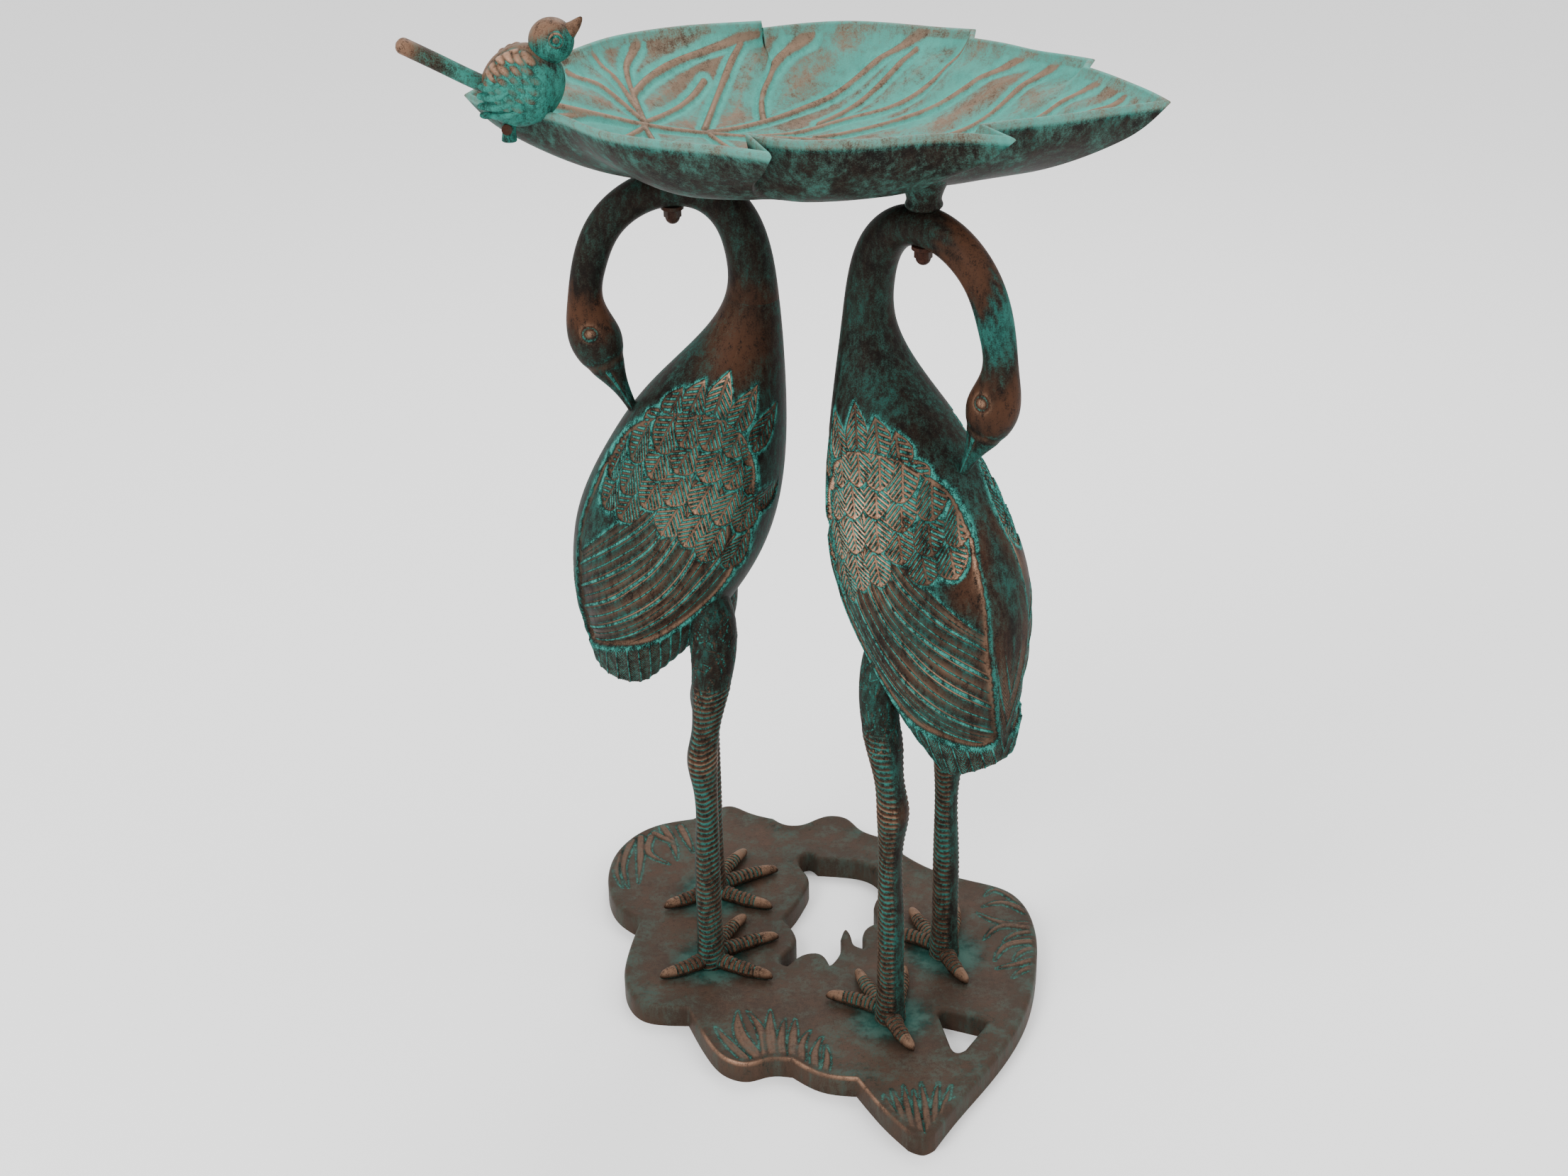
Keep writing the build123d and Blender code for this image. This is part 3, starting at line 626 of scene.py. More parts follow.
def tail_strips(x, z):
    """Striped tail feathers with fine barbs, set back under the wing."""
    strip = np.abs(((x / TAIL_PITCH) % 1) - 0.5) * 2
    stripes = 0.8 * np.sqrt(np.clip(1 - strip ** 2, 0, 1)) - 0.4 * bump(1 - strip, 0.25)
    stripes += 0.22 * np.cos((z - 9 * strip) * 2 * math.pi / TAIL_BARB_PITCH) * smooth_step(0.95, 0.6, strip)
    return (1 - smooth_step(262, 330, z + 0.25 * x)) * (stripes - TAIL_SETBACK)


def long_feathers(x, z):
    """The long wing feathers, each with ridged edges and a groove along its middle."""
    number = line_number(x, z)
    part = number % 1
    height = 1.5 * np.sin(math.pi * part) ** 0.6 - 0.5
    height += 0.55 * bump(part - 0.10, 0.05) + 0.55 * bump(part - 0.90, 0.05)
    height -= 0.45 * bump(part - 0.52, 0.05)
    return WING_LIFT + height * smooth_step(0.0, 0.12, number)


def lay_coverts(relief, x, z, lean):
    """Lays the covert feathers over the relief, the lowest of each column first."""
    lean_cos, lean_sin = math.cos(math.radians(lean)), math.sin(math.radians(lean))
    longest = max(len(column) for column in COVERT_COLUMNS)
    for level in range(longest - 1, -1, -1):
        for column in COVERT_COLUMNS:
            if level >= len(column):
                continue
            tip_x, tip_z = column[level]
            dx, dz = x - tip_x, z - tip_z
            lift = COVERT_LIFT + COVERT_STEP * (longest - level)
            laid = feather(relief, dx * lean_cos - dz * lean_sin, dx * lean_sin + dz * lean_cos,
                           COVERT_LENGTH, COVERT_HALF_WIDTH, lift, COVERT_BARB)
            relief = relief + (laid - relief) * (1 - 0.75 * smooth_step(*WING_FADE, tip_x))
    return relief


def lay_collar(relief, x, z, outside):
    """Lays the leaf-shaped feathers round the root of the neck, where outside the wing."""
    for low, high in reversed(COLLAR_LEAVES):
        run = np.subtract(high, low).astype(float)
        length = np.linalg.norm(run)
        run /= length
        dx, dz = x - low[0], z - low[1]
        laid = feather(relief, dx * run[1] - dz * run[0], dx * run[0] + dz * run[1] + COLLAR_OVERLAP,
                       length + COLLAR_OVERLAP, COLLAR_HALF_WIDTH, COLLAR_LIFT, COLLAR_BARB)
        weak = smooth_step(*WING_FADE, low[0] + 8)
        relief = relief + (laid - relief) * outside * (1 - 0.85 * weak)
    return relief


def plumage(x, z, lean):
    """Relief height of the crane's side at each (distance round, height)."""
    flat = np.stack([x.ravel(), z.ravel()], 1)
    wing = signed(flat, smooth_closed(WING_OUTLINE, 160)).reshape(x.shape)
    fade = 1 - smooth_step(*WING_FADE, x)
    covers = smooth_step(0, 1.6, wing)
    relief = tail_strips(x, z) * (1 - covers) + long_feathers(x, z) * covers * fade
    relief = lay_coverts(relief, x, z, lean)
    # Nothing of the coverts stands above the wing's top line, which is a raised cord
    relief = relief * (1 - smooth_step(0.6, -0.6, wing) * smooth_step(400, 412, z))
    top_line = bump(wing - 0.4, 1.7) * smooth_step(405, 425, z) * fade
    relief = relief + top_line * np.maximum(TOP_LINE_HEIGHT - relief, 0)
    return lay_collar(relief, x, z, smooth_step(1.4, -0.4, wing))


def smooth_closed(outline, count):
    """A closed outline rounded a little by a smooth curve through its points."""
    ring = list(outline)
    wrapped = ring[-3:] + ring + ring[:3]
    where = along(wrapped)
    return spline(where, wrapped, np.linspace(where[3], where[-3], count, endpoint=False))


BODY_ROWS, BODY_COLUMNS = 500, 620
SIDE_CROWD = 0.15
NECK_ROWS, NECK_COLUMNS = 300, 112
TAIL_ROUND = 5.0             # the tail's closed end is rounded over this distance
TAIL_CAP_SHARES = (0.0, 0.3, 0.6, 0.8, 0.93)
EYE_SHARE = 0.765            # share of the way from the neck's root to the beak's tip
HEAD_STRETCH, HEAD_WIDTH = 300.0, 15.0   # millimetres per whole share and per radian at the eyes


def tail_cap(ring):
    """Rings that close the tail's end with a rounded edge."""
    centre = ring.mean(0)
    tilt = math.radians(BODY_STATIONS[0][2])
    downward = np.array([-math.sin(tilt), 0, -math.cos(tilt)])
    return np.array([centre + (ring - centre) * share + downward * TAIL_ROUND * math.sqrt(1 - share ** 2)
                     for share in TAIL_CAP_SHARES])


def crane_body(name, place, heading, tail_drop, wing_drop, lean, rub_and_highlight):
    knots, _ = spine(tail_drop)
    where = np.linspace(0, knots[NECK_ROOT], BODY_ROWS)
    points, forward, deep, wide, turn = spine_rings(where, tail_drop, BODY_COLUMNS, SIDE_CROWD)
    x = distance_round(forward, deep, wide, turn)
    z = points[..., 2]
    # One side's plumage serves both
    half = BODY_COLUMNS // 2 + 1
    seen = z + wing_drop * smooth_step(352, 270, z)
    relief_half = plumage(x[:, :half], seen[:, :half], lean)
    column = np.arange(BODY_COLUMNS)
    relief = relief_half[:, np.minimum(column, BODY_COLUMNS - column)]
    relief = relief * smooth_step(knots[NECK_ROOT], knots[NECK_ROOT] - 12, where)[:, None]
    # The wide, soft term paints shade into the deep overlaps between the feathers; the fine one marks worn
    # crests and filled grooves.
    wear_and_shade = np.clip(0.75 * crest_and_hollow(relief, 9, 0.3) + 0.6 * crest_and_hollow(relief, 50, 1.3), -0.78, 1)
    points = points + normals_of(points) * relief[..., None]
    rings = np.concatenate([tail_cap(points[0]), points])
    pad = ((len(TAIL_CAP_SHARES), 0), (0, 0))
    wear_and_shade, z, x = (np.pad(grid, pad, mode="edge") for grid in (wear_and_shade, z, x))
    # Rubbed copper patches; the right crane's broad one on the coverts is also a painted highlight.
    warm = sum(amount * bump(x - centre_x, reach_x) * bump(z - centre_z, reach_z)
               for centre_x, centre_z, reach_x, reach_z, amount in rub_and_highlight)
    fields = {
        "wear_and_shade": wear_and_shade * (1 - 0.6 * smooth_step(-92, -102, x)),
        "teal": 0.06 * smooth_step(300, 400, z) * smooth_step(475, 440, z),
        "warm": warm,
    }
    mesh_piece(name + "_cast", placed(rings, place, heading).reshape(-1, 3), ring_faces(*rings.shape[:2]),
               crane_metal, fields, name)


def crane_neck(name, place, heading, tail_drop, patches):
    knots, _ = spine(tail_drop)
    where = np.linspace(knots[NECK_ROOT], knots[-1], NECK_ROWS)
    points, _, _, _, turn = spine_rings(where, tail_drop, NECK_COLUMNS)
    # The flat seat on top of the arch
    points[..., 2] = np.minimum(points[..., 2], NECK_SEAT + 0.02 * (points[..., 2] - NECK_SEAT))
    share = np.linspace(0, 1, NECK_ROWS)[:, None]
    # Eyes in their sockets, the line between the halves of the beak and the beak's root
    relief = 0 * points[..., 0]
    for quarter in (1, 3):
        away = np.hypot((share - EYE_SHARE) * HEAD_STRETCH, (turn - quarter * math.pi / 2) * HEAD_WIDTH)
        relief += 0.45 * bump(away, 3.4) - 0.25 * bump(away - 4.4, 1.8)
    relief -= 0.5 * smooth_step(0.855, 0.875, share) * bump(np.abs(np.sin(turn)) - 1.0, 0.02)
    relief += 0.5 * bump(share - 0.852, 0.02)
    points = points + normals_of(points) * relief[..., None]
    whole = 0 * relief
    on_head = bump(share - 0.735, 0.11)
    fields = {"wear_and_shade": 0.6 * crest_and_hollow(relief, 5), "teal": whole - 0.08, "warm": whole + 0.2 * on_head}
    ragged = 0.30 * np.sin(2 * turn + 1) + 0.22 * np.sin(5 * turn + 60 * share)
    ragged += 0.15 * np.sin(11 * turn - 90 * share)
    for key, centre, reach, amount in patches:
        fields[key] = fields[key] + amount * bump(share - centre + 0.6 * reach * ragged, reach)
    mesh_piece(name + "_cast", placed(points, place, heading).reshape(-1, 3), ring_faces(*points.shape[:2]),
               crane_metal, fields, name)


LEG_ROWS, LEG_COLUMNS = 640, 80
THIGH_SCRATCHES = 260
THIGH_RADIUS = 15.0


def leg_stations(side, ankle, thigh):
    """Leg centre line as rows of (forward, left, up, radius)."""
    forward, left = ankle
    rows = [(forward + x, left, up, radius) for x, up, radius in SHANK_STATIONS]
    thigh_x, thigh_y = thigh[0][0], side * thigh[0][1]
    for share, up, radius in BETWEEN_STATIONS:
        rows.append((forward + (thigh_x - forward) * share, left + (thigh_y - left) * share, up, radius))
    rows.extend((x, side * out, up, radius) for x, out, up, radius in thigh)
    return np.array(rows, float)


def thigh_scratches(turn, z, seed):
    """Hair-like scratches and ridges at random places on the thigh."""
    rng = np.random.default_rng(seed)
    relief = 0 * z
    girth = 2 * math.pi * THIGH_RADIUS
    around_mm = turn * THIGH_RADIUS
    for _ in range(THIGH_SCRATCHES):
        centre_turn, centre_z = rng.uniform(0, 2 * math.pi), rng.uniform(236, 318)
        slant, length = math.radians(rng.normal(8, 32)), rng.uniform(4, 9)
        dx = (around_mm - centre_turn * THIGH_RADIUS + girth / 2) % girth - girth / 2
        dz = z - centre_z
        a = dx * math.sin(slant) + dz * math.cos(slant)
        b = dx * math.cos(slant) - dz * math.sin(slant)
        relief += rng.choice((-0.40, 0.35)) * bump(b, 0.7) * bump(a, length)
    return relief


def crane_leg(name, place, heading, side, ankle, thigh, toes, seed):
    rows = leg_stations(side, ankle, thigh)
    up = np.linspace(0, rows[-1, 2], LEG_ROWS)
    forward, left, _, radius = spline(rows[:, 2], rows, up).T
    turn = np.linspace(0, 2 * math.pi, LEG_COLUMNS, endpoint=False)[None, :]
    z = up[:, None] + 0 * turn
    # Overlapping scutes whose lower edges stand out, rising toward the front and fading at the back
    climb = 3.2 * smooth_step(-0.3, 1.0, np.cos(turn)) + 0.35 * np.sin(3 * turn + z / 9)
    part = ((z - climb) / LEG_RING_PITCH) % 1
    ringed = smooth_step(258, 246, z) * smooth_step(-0.98, -0.70, np.cos(turn))
    relief = 1.25 * (1 - part) ** 1.2 * smooth_step(0.0, 0.2, part) * ringed
    ridge = bump(part - 0.22, 0.2) * ringed
    relief += thigh_scratches(turn, z, seed)
    points = np.stack([forward[:, None] + (radius[:, None] + relief) * np.cos(turn),
                       left[:, None] + (radius[:, None] + relief) * np.sin(turn), z], -1)
    wear_and_shade = 0.6 * crest_and_hollow(relief, 5, 0.3)
    teal = ridge * (0.4 + 0.6 * smooth_step(-0.6, 0.6, np.sin(1.7 * turn + z / 23))) - 0.1 * ringed
    warm = 0.4 * bump(z - 191, 16) + 0.35 * (1 - ridge) * ringed
    groups = [(points, wear_and_shade, teal, warm)]
    for angle, length in zip(toes, TOE_LENGTHS):
        groups.append(toe(angle, length, ankle))
    vertices, faces, fields = join_rings(groups)
    mesh_piece(name + "_cast", placed(vertices, place, heading), faces, crane_metal,
               fields, name)


def toe(angle, length, ankle):
    """One toe with its claw, in the crane's own frame."""
    rows = np.array(TOE_STATIONS, float)
    share = np.linspace(0, 1, TOE_ROWS)
    _, height, wide, high = spline(rows[:, 0], rows, share).T
    run = share * length
    turn = math.radians(angle)
    direction = np.array([math.cos(turn), math.sin(turn), 0])
    across = np.array([-direction[1], direction[0], 0])
    curl = 2.5 * np.sin(share * math.pi) * math.copysign(1, math.sin(angle))
    centres = run[:, None] * direction + curl[:, None] * across
    centres[:, :2] += ankle
    centres[:, 2] = height
    rings = oval_tube(centres, np.maximum(wide, 0.3), np.maximum(high, 0.3), across, TOE_COLUMNS)
    skin = (share < CLAW_START)[:, None]
    round_it = np.linspace(0, 2 * math.pi, TOE_COLUMNS, endpoint=False)[None, :]
    quarter = TOE_COLUMNS // 4
    top_side = math.copysign(1, rings[quarter, quarter, 2] - rings[quarter, 3 * quarter, 2])
    upper = smooth_step(-0.2, 0.3, np.sin(round_it) * top_side)
    waves = np.abs(np.sin(math.pi * (run[:, None] / TOE_RING_PITCH + 0.12 * np.cos(round_it)))) ** 0.7
    relief = np.where(skin, 1.3 * (waves - 0.6) * upper, 0.0)
    middle = centres[:, None]
    size = np.linalg.norm(rings - middle, axis=-1, keepdims=True)
    rings = middle + (rings - middle) * (1 + relief[..., None] / np.maximum(size, 0.5))
    rings[..., 2] = np.maximum(rings[..., 2], -0.5)
    low = smooth_step(3.0, 0.5, rings[..., 2])
    knuckles = smooth_step(0.12, 0.3, share)[:, None]
    wear_and_shade = np.where(skin, 0.8 * crest_and_hollow(relief, 3, 0.4), 0.35 * smooth_step(2, 7, rings[..., 2]))
    return rings, wear_and_shade, 0.7 * low + 0.25 - 0.35 * knuckles, 0.4 * knuckles + 0 * low


def join_rings(groups):
    """Several ring grids as one list of points, faces and fields."""
    vertices, faces, wear_and_shade_parts, teals, warms = [], [], [], [], []
    start = 0
    for points, wear_and_shade, teal, warm in groups:
        rows, columns = points.shape[:2]
        for face in ring_faces(rows, columns):
            faces.append([start + corner for corner in face])
        vertices.append(points.reshape(-1, 3))
        shape = (rows, columns)
        wear_and_shade_parts.append(np.broadcast_to(wear_and_shade, shape).ravel())
        teals.append(np.broadcast_to(teal, shape).ravel())
        warms.append(np.broadcast_to(warm, shape).ravel())
        start += rows * columns
    fields = {"wear_and_shade": np.concatenate(wear_and_shade_parts), "teal": np.concatenate(teals), "warm": np.concatenate(warms)}
    return np.concatenate(vertices), faces, fields


LEFT_TAIL_DROP, RIGHT_TAIL_DROP = 0.0, 12.0
LEFT_WING_DROP, RIGHT_WING_DROP = 0.0, 14.0
LEFT_LEAN, RIGHT_LEAN = 33.0, 20.0
# Rubbed copper places, the right crane's first, broad one on the coverts also a painted highlight: (distance
# round, height, reach round, reach up, amount)
LEFT_RUB = ((30, 512, 44, 50, 0.9), (5, 395, 70, 90, 0.42), (-40, 330, 60, 45, 0.3))
RIGHT_RUB_AND_HIGHLIGHT = (
    (20, 420, 90, 80, 1.2), (-92, 400, 24, 50, 0.8), (-112, 330, 18, 90, 0.5), (-60, 320, 60, 40, 0.4),
)
# Patches on a neck: (field, share of the way to the beak's tip, reach, amount)
LEFT_PATCHES = (("warm", 0.72, 0.07, 0.8), ("warm", 0.0, 0.07, 0.4), ("teal", 0.93, 0.06, 0.3))
RIGHT_PATCHES = (("teal", 0.61, 0.10, 0.50), ("warm", 0.47, 0.12, 0.8), ("warm", 0.77, 0.08, 0.7),
                 ("teal", 0.92, 0.08, 0.35))

crane_body("left_crane_body", LEFT_PLACE, LEFT_HEADING, LEFT_TAIL_DROP, LEFT_WING_DROP, LEFT_LEAN, LEFT_RUB)
crane_neck("left_crane_neck", LEFT_PLACE, LEFT_HEADING, LEFT_TAIL_DROP, LEFT_PATCHES)
crane_body("right_crane_body", RIGHT_PLACE, RIGHT_HEADING, RIGHT_TAIL_DROP, RIGHT_WING_DROP, RIGHT_LEAN,
           RIGHT_RUB_AND_HIGHLIGHT)
crane_neck("right_crane_neck", RIGHT_PLACE, RIGHT_HEADING, RIGHT_TAIL_DROP, RIGHT_PATCHES)
for index, (side, label) in enumerate(((1, "left_leg"), (-1, "right_leg"))):
    crane_leg("left_crane_" + label, LEFT_PLACE, LEFT_HEADING, side, LEFT_ANKLES[index], LEFT_THIGH,
              LEFT_TOES, SEED + index)
    crane_leg("right_crane_" + label, RIGHT_PLACE, RIGHT_HEADING, side, RIGHT_ANKLES[index], RIGHT_THIGH,
              RIGHT_TOES, SEED + 10 + index)


# --- bowl ----------------------------------------------------------------------------------


def rounded_outline(points, sharp, per_span):
    """A closed line through the points, smooth but for corners at the sharp ones."""
    count = len(points)
    corners = [i for i in range(count) if tuple(points[i]) in sharp]
    line = []
    for start, end in zip(corners, corners[1:] + [corners[0] + count]):
        run = [points[i % count] for i in range(start, end + 1)]
        smooth = smooth_path(run, per_span * (end - start) + 1)
        line.extend(smooth[:-1])
    return np.array(line)


BOWL_AROUND_STEP = 20        # outline points per rim point
INNER_ROWS, OUTER_ROWS, LIP_ROWS = 210, 60, 7


def leaf_outlines():
    """The rim outline and the same outline with its teeth smoothed away, point for point."""
    real = rounded_outline(LEAF_RIM, TOOTH_POINTS, BOWL_AROUND_STEP)
    plain_points = [LEAF_SMOOTH.get(point, point) for point in LEAF_RIM]
    sharp = [LEAF_SMOOTH.get(point, point) for point in TOOTH_POINTS]
    plain = rounded_outline(plain_points, sharp, BOWL_AROUND_STEP)
    return real, plain


def bowl_shape(share):
    """Depth below the rim, the outline's scales and how much of the teeth is kept, at each share.

    A share is how far out a ring lies, from 0 in the middle to 1 at the rim.
    """
    rows = np.array(BOWL_LEVELS, float)
    found = spline(rows[:, 0], rows, np.clip(share, 0, 1))
    depth = np.where(share < rows[1, 0], rows[1, 1], found[:, 1])
    return depth, np.stack([found[:, 2], share], 1), np.clip(found[:, 3], 0, 1)


def leaf_level(real, plain, scales, keep, inset=0.0):
    centre = np.array(LEAF_CENTRE)
    line = plain + (real - plain) * keep
    away = line - centre
    size = np.linalg.norm(away, axis=1, keepdims=True)
    return centre + away * scales * (1 - inset / size)


def vein_relief(flat):
    """Raised double-edged veins with soft swells between them, at points in plan."""
    relief = np.zeros(len(flat))
    nearest = np.full(len(flat), 1e9)
    for half, height, *points in VEINS:
        line = smooth_path(points, 8 * len(points))
        near = ((flat > line.min(0) - VEIN_REACH) & (flat < line.max(0) + VEIN_REACH)).all(1)
        close = flat[near]
        away = to_lines(close, list(zip(line[:-1], line[1:])))
        taper = 0.55 + 0.45 * smooth_step(200, 0, np.linalg.norm(close - line[0], axis=1))
        profile = 1.15 * height * smooth_step(half * 1.4, half * 0.15, away)
        relief[near] = np.maximum(relief[near], profile * taper)
        nearest[near] = np.minimum(nearest[near], away)
    swell = 2.2 * smooth_step(2.0, 20.0, nearest) - 0.5 * bump(nearest - 3.8, 2.0)
    return relief + swell, nearest


def level_ring(line, height):
    return np.column_stack([line, np.full(len(line), height)])


def bowl_outside(real, plain):
    """Rings from the middle of the floor's underside up to the rim."""
    shares = 1 - np.linspace(1, 0, OUTER_ROWS) ** 1.3
    return [level_ring(leaf_level(real, plain, scales, keep), RIM - depth - OUTER_DROP)
            for depth, scales, keep in zip(*bowl_shape(np.maximum(shares, 0.002)))]


def bowl_lip(real, plain):
    """Rings round the lip, from the outside to the inside."""
    rings = []
    for turn in np.linspace(0, math.pi, LIP_ROWS + 2)[1:-1]:
        inset = LIP * (1 - math.cos(turn)) / 2
        line = leaf_level(real, plain, (1.0, 1.0), 1.0 - (1 - LIP_KEEP) * inset / LIP, inset)
        rings.append(level_ring(line, RIM - OUTER_DROP + LIP_RISE * math.sin(turn)))
    return rings


def bowl_inside(real, plain):
    """Rings from the lip down to the middle of the floor."""
    shares = np.linspace(1, 0.003, INNER_ROWS)
    rings = []
    for share, depth, scales, keep in zip(shares, *bowl_shape(shares)):
        line = leaf_level(real, plain, scales, min(keep, LIP_KEEP), LIP)
        lift = (INNER_LIFT + INNER_DROP) * smooth_step(1.0, 0.9, share) - INNER_DROP
        rings.append(level_ring(line, RIM - depth + lift))
    return np.array(rings)


def leaf_bowl():
    real, plain = leaf_outlines()
    outer = bowl_outside(real, plain)
    lip = bowl_lip(real, plain)
    inner = bowl_inside(real, plain)
    relief, nearest = vein_relief(inner[..., :2].reshape(-1, 2))
    relief, nearest = relief.reshape(inner.shape[:2]), nearest.reshape(inner.shape[:2])
    relief = relief * smooth_step(0, 14, np.arange(INNER_ROWS))[:, None]
    inner[..., 2] += relief
    rings = np.concatenate([np.array(outer), np.array(lip), inner])
    in_start = len(outer) + len(lip)
    wear_and_shade, teal, warm, pale = np.zeros((4, *rings.shape[:2]))
    # Hollows beside the veins take a faint painted shade, the vein tops a rubbed wear.
    vein_wear_and_shade = crest_and_hollow(relief, 10, 0.5)
    wear_and_shade[in_start:] = np.where(vein_wear_and_shade < 0, 0.18, 0.5) * vein_wear_and_shade
    # Verdigris lies beside the veins and in clouds between them; the veins' tops are rubbed
    vein_top = smooth_step(2.6, 1.0, nearest)
    beside = bump(nearest - 4.6, 3.6)
    x, y = inner[..., 0], inner[..., 1]
    patchy = np.sin(x / 17 + 2.1 * np.sin(y / 31)) * np.sin(y / 14 + 1.7 * np.sin(x / 27))
    teal[:len(outer)] = -0.10
    teal[len(outer) - 3:in_start + 3] = 0.12
    teal[in_start + 3:] = (0.75 * beside - 0.35 * vein_top - 0.42 * patchy * (1 - beside))[3:]
    warm[in_start:] = 0.45 * vein_top + 0.45 * smooth_step(9, 20, nearest)
    pale[len(outer) - 2:] = 0.85
    underside = np.concatenate(outer)
    groups = [(rings, wear_and_shade, teal, warm), boss(LEFT_PLACE, LEFT_HEADING, LEFT_STUD, underside),
              boss(RIGHT_PLACE, RIGHT_HEADING, RIGHT_STUD, underside)]
    vertices, faces, fields = join_rings(groups)
    fields["pale"] = np.pad(pale.ravel(), (0, len(vertices) - pale.size))
    vertices[:, 2] += PLATE_TOP
    mesh_piece("leaf_bowl_cast", vertices, faces, bowl_metal, fields, "leaf_bowl")


# Boss: (height above the neck's seat, radius)
BOSS_PROFILE = ((0.0, 11.2), (1.0, 12.2), (5.0, 11.8), (9.0, 12.2), (13.0, 13.6), (18.0, 16.0), (24.0, 19.0))
BOSS_BITE = 2.5              # how far a boss runs into the bowl's wall


def boss(place, heading, stud, underside):
    """The round boss that lands on a neck, flaring up to the bowl's underside."""
    rows = np.array(BOSS_PROFILE)
    up = np.linspace(0, rows[-1, 0], 40)
    radius = spline(rows[:, 0], rows, up)[:, 1]
    turn = np.linspace(0, 2 * math.pi, 64, endpoint=False)
    angle = math.radians(heading)
    x = place[0] + stud * math.cos(angle)
    y = place[1] + stud * math.sin(angle)
    rings = np.stack([x + radius[:, None] * np.cos(turn), y + radius[:, None] * np.sin(turn),
                      NECK_SEAT + up[:, None] + 0 * turn], -1)
    near = underside[np.linalg.norm(underside[:, :2] - (x, y), axis=1) < 1.5 * rows[-1, 1]]
    for ring in rings:
        apart = np.linalg.norm(ring[:, None, :2] - near[None, :, :2], axis=-1)
        ring[:, 2] = np.minimum(ring[:, 2], near[apart.argmin(1), 2] + BOSS_BITE)
    none = np.zeros(rings.shape[:2])
    return rings, none, none - 0.05, none


leaf_bowl()

# --- plate ---------------------------------------------------------------------------------


def outline_of(stretch_list, spacing):
    """Points along the stretches' curves, about spacing apart, closed."""
    line = []
    for stretch in stretch_list:
        count = max(3, int(along(stretch)[-1] / spacing)) + 1
        if len(stretch) > 2:
            points = smooth_path(stretch, count)
        else:
            points = np.linspace(*np.array(stretch, float), count)
        line.extend(points[:-1])
    return np.array(line)


# Grass blades cast on the plate: (foot, bend, tip, half width)
BLADES = (
    ((-35, -118), (-48, -99), (-58, -80), 3.6), ((-26, -115), (-38, -92), (-41, -61), 5.0),
    ((-20, -115), (-24, -82), (-34, -61), 3.6), ((-13, -117), (-16, -91), (-16, -60), 4.6),
    ((-7, -117), (-8, -95), (-5, -71), 3.4), ((1, -119), (1, -95), (3, -71), 4.0),
    ((7, -121), (8, -100), (14, -85), 3.0), ((17, -130), (17, -113), (23, -93), 3.0),
    ((24, -135), (26, -118), (25, -103), 2.6),
    ((75, -190), (70, -177), (66, -162), 2.8), ((81, -197), (77, -177), (72, -155), 2.8),
    ((86, -203), (83, -178), (81, -151), 2.8), ((91, -205), (89, -178), (88, -156), 2.6),
    ((97, -205), (96, -178), (94, -148), 3.0), ((102, -200), (103, -173), (107, -148), 2.8),
    ((106, -192), (110, -173), (116, -152), 2.6), ((112, -184), (114, -173), (118, -166), 2.2),
    ((188, 69), (165, 89), (159, 83), 2.8), ((190, 59), (170, 73), (156, 68), 3.0),
    ((192, 42), (167, 47), (151, 60), 3.0), ((195, 35), (167, 40), (154, 24), 3.0),
    ((195, 31), (180, 30), (169, 19), 2.6), ((195, 19), (172, 16), (160, -4), 3.4),
    ((194, 10), (184, 8), (175, -4), 2.8), ((193, -3), (177, -9), (160, -14), 3.0),
    ((192, -13), (183, -16), (172, -26), 2.8),
    ((-125, 175), (-124, 135), (-124, 109), 3.2), ((-132, 170), (-138, 136), (-132, 103), 3.0),
    ((-142, 157), (-143, 125), (-137, 103), 2.8), ((-116, 177), (-117, 152), (-99, 135), 3.0),
    ((-107, 190), (-98, 167), (-93, 141), 3.2), ((-92, 190), (-85, 168), (-80, 151), 3.0),
    ((-114, 181), (-103, 171), (-93, 161), 2.8),
)
BLADE_HEIGHT = 1.1
BLADE_POINTS = 26
EDGE_INSETS = (0.5, 1.3, 2.4, 3.8, 5.4)   # mesh rows beside the plate's edges


def to_path(points, line):
    """Distance from each point to a line of points, and the share of the line passed there."""
    away, share = np.full(len(points), 1e9), np.zeros(len(points))
    for k, (start, end) in enumerate(zip(line[:-1], line[1:])):
        run = end - start
        t = np.clip(((points - start) @ run) / (run @ run), 0, 1)
        apart = np.linalg.norm(points - start - t[:, None] * run, axis=1)
        closer = apart < away
        away = np.where(closer, apart, away)
        share = np.where(closer, (k + t) / (len(line) - 1), share)
    return away, share


def plate_relief(flat):
    """Raised grass blades, each in a shallow groove."""
    relief = np.zeros(len(flat))
    for foot, bend, tip, half in BLADES:
        line = smooth_path((foot, bend, tip), BLADE_POINTS)
        near = np.linalg.norm(flat - line.mean(0), axis=1) < along(line)[-1]
        away, share = to_path(flat[near], line)
        width = half * np.sin(math.pi * np.clip(0.35 + 0.65 * share, 0, 1)) ** 0.8
        rise = BLADE_HEIGHT * smooth_step(-0.3, 1.2, width - away) * (1 - 0.25 * bump(away, 0.9))
        groove = 0.7 * bump(width - away + 0.7, 1.3) * (rise < 0.5)
        relief[near] = np.where(rise > 0.1, rise, np.minimum(relief[near], relief[near] - groove))
    return relief


def foot_points():
    """Ankle centres in plan."""
    points = []
    for place, heading, ankles in ((LEFT_PLACE, LEFT_HEADING, LEFT_ANKLES),
                                   (RIGHT_PLACE, RIGHT_HEADING, RIGHT_ANKLES)):
        for ankle in ankles:
            points.append(placed(np.array([*ankle, 0.0]), place, heading)[:2])
    return points


def edge_rows(loops):
    """Points in rows beside the edges, each with its distance from its edge."""
    rows = []
    for loop in loops:
        run = np.roll(loop, -1, axis=0) - np.roll(loop, 1, axis=0)
        normal = np.stack([run[:, 1], -run[:, 0]], 1)
        normal /= np.maximum(np.linalg.norm(normal, axis=1, keepdims=True), 1e-9)
        for inset in EDGE_INSETS:
            for sign in (1, -1):
                rows.append(np.column_stack([loop + sign * normal * inset, np.full(len(loop), inset)]))
    return np.concatenate(rows)


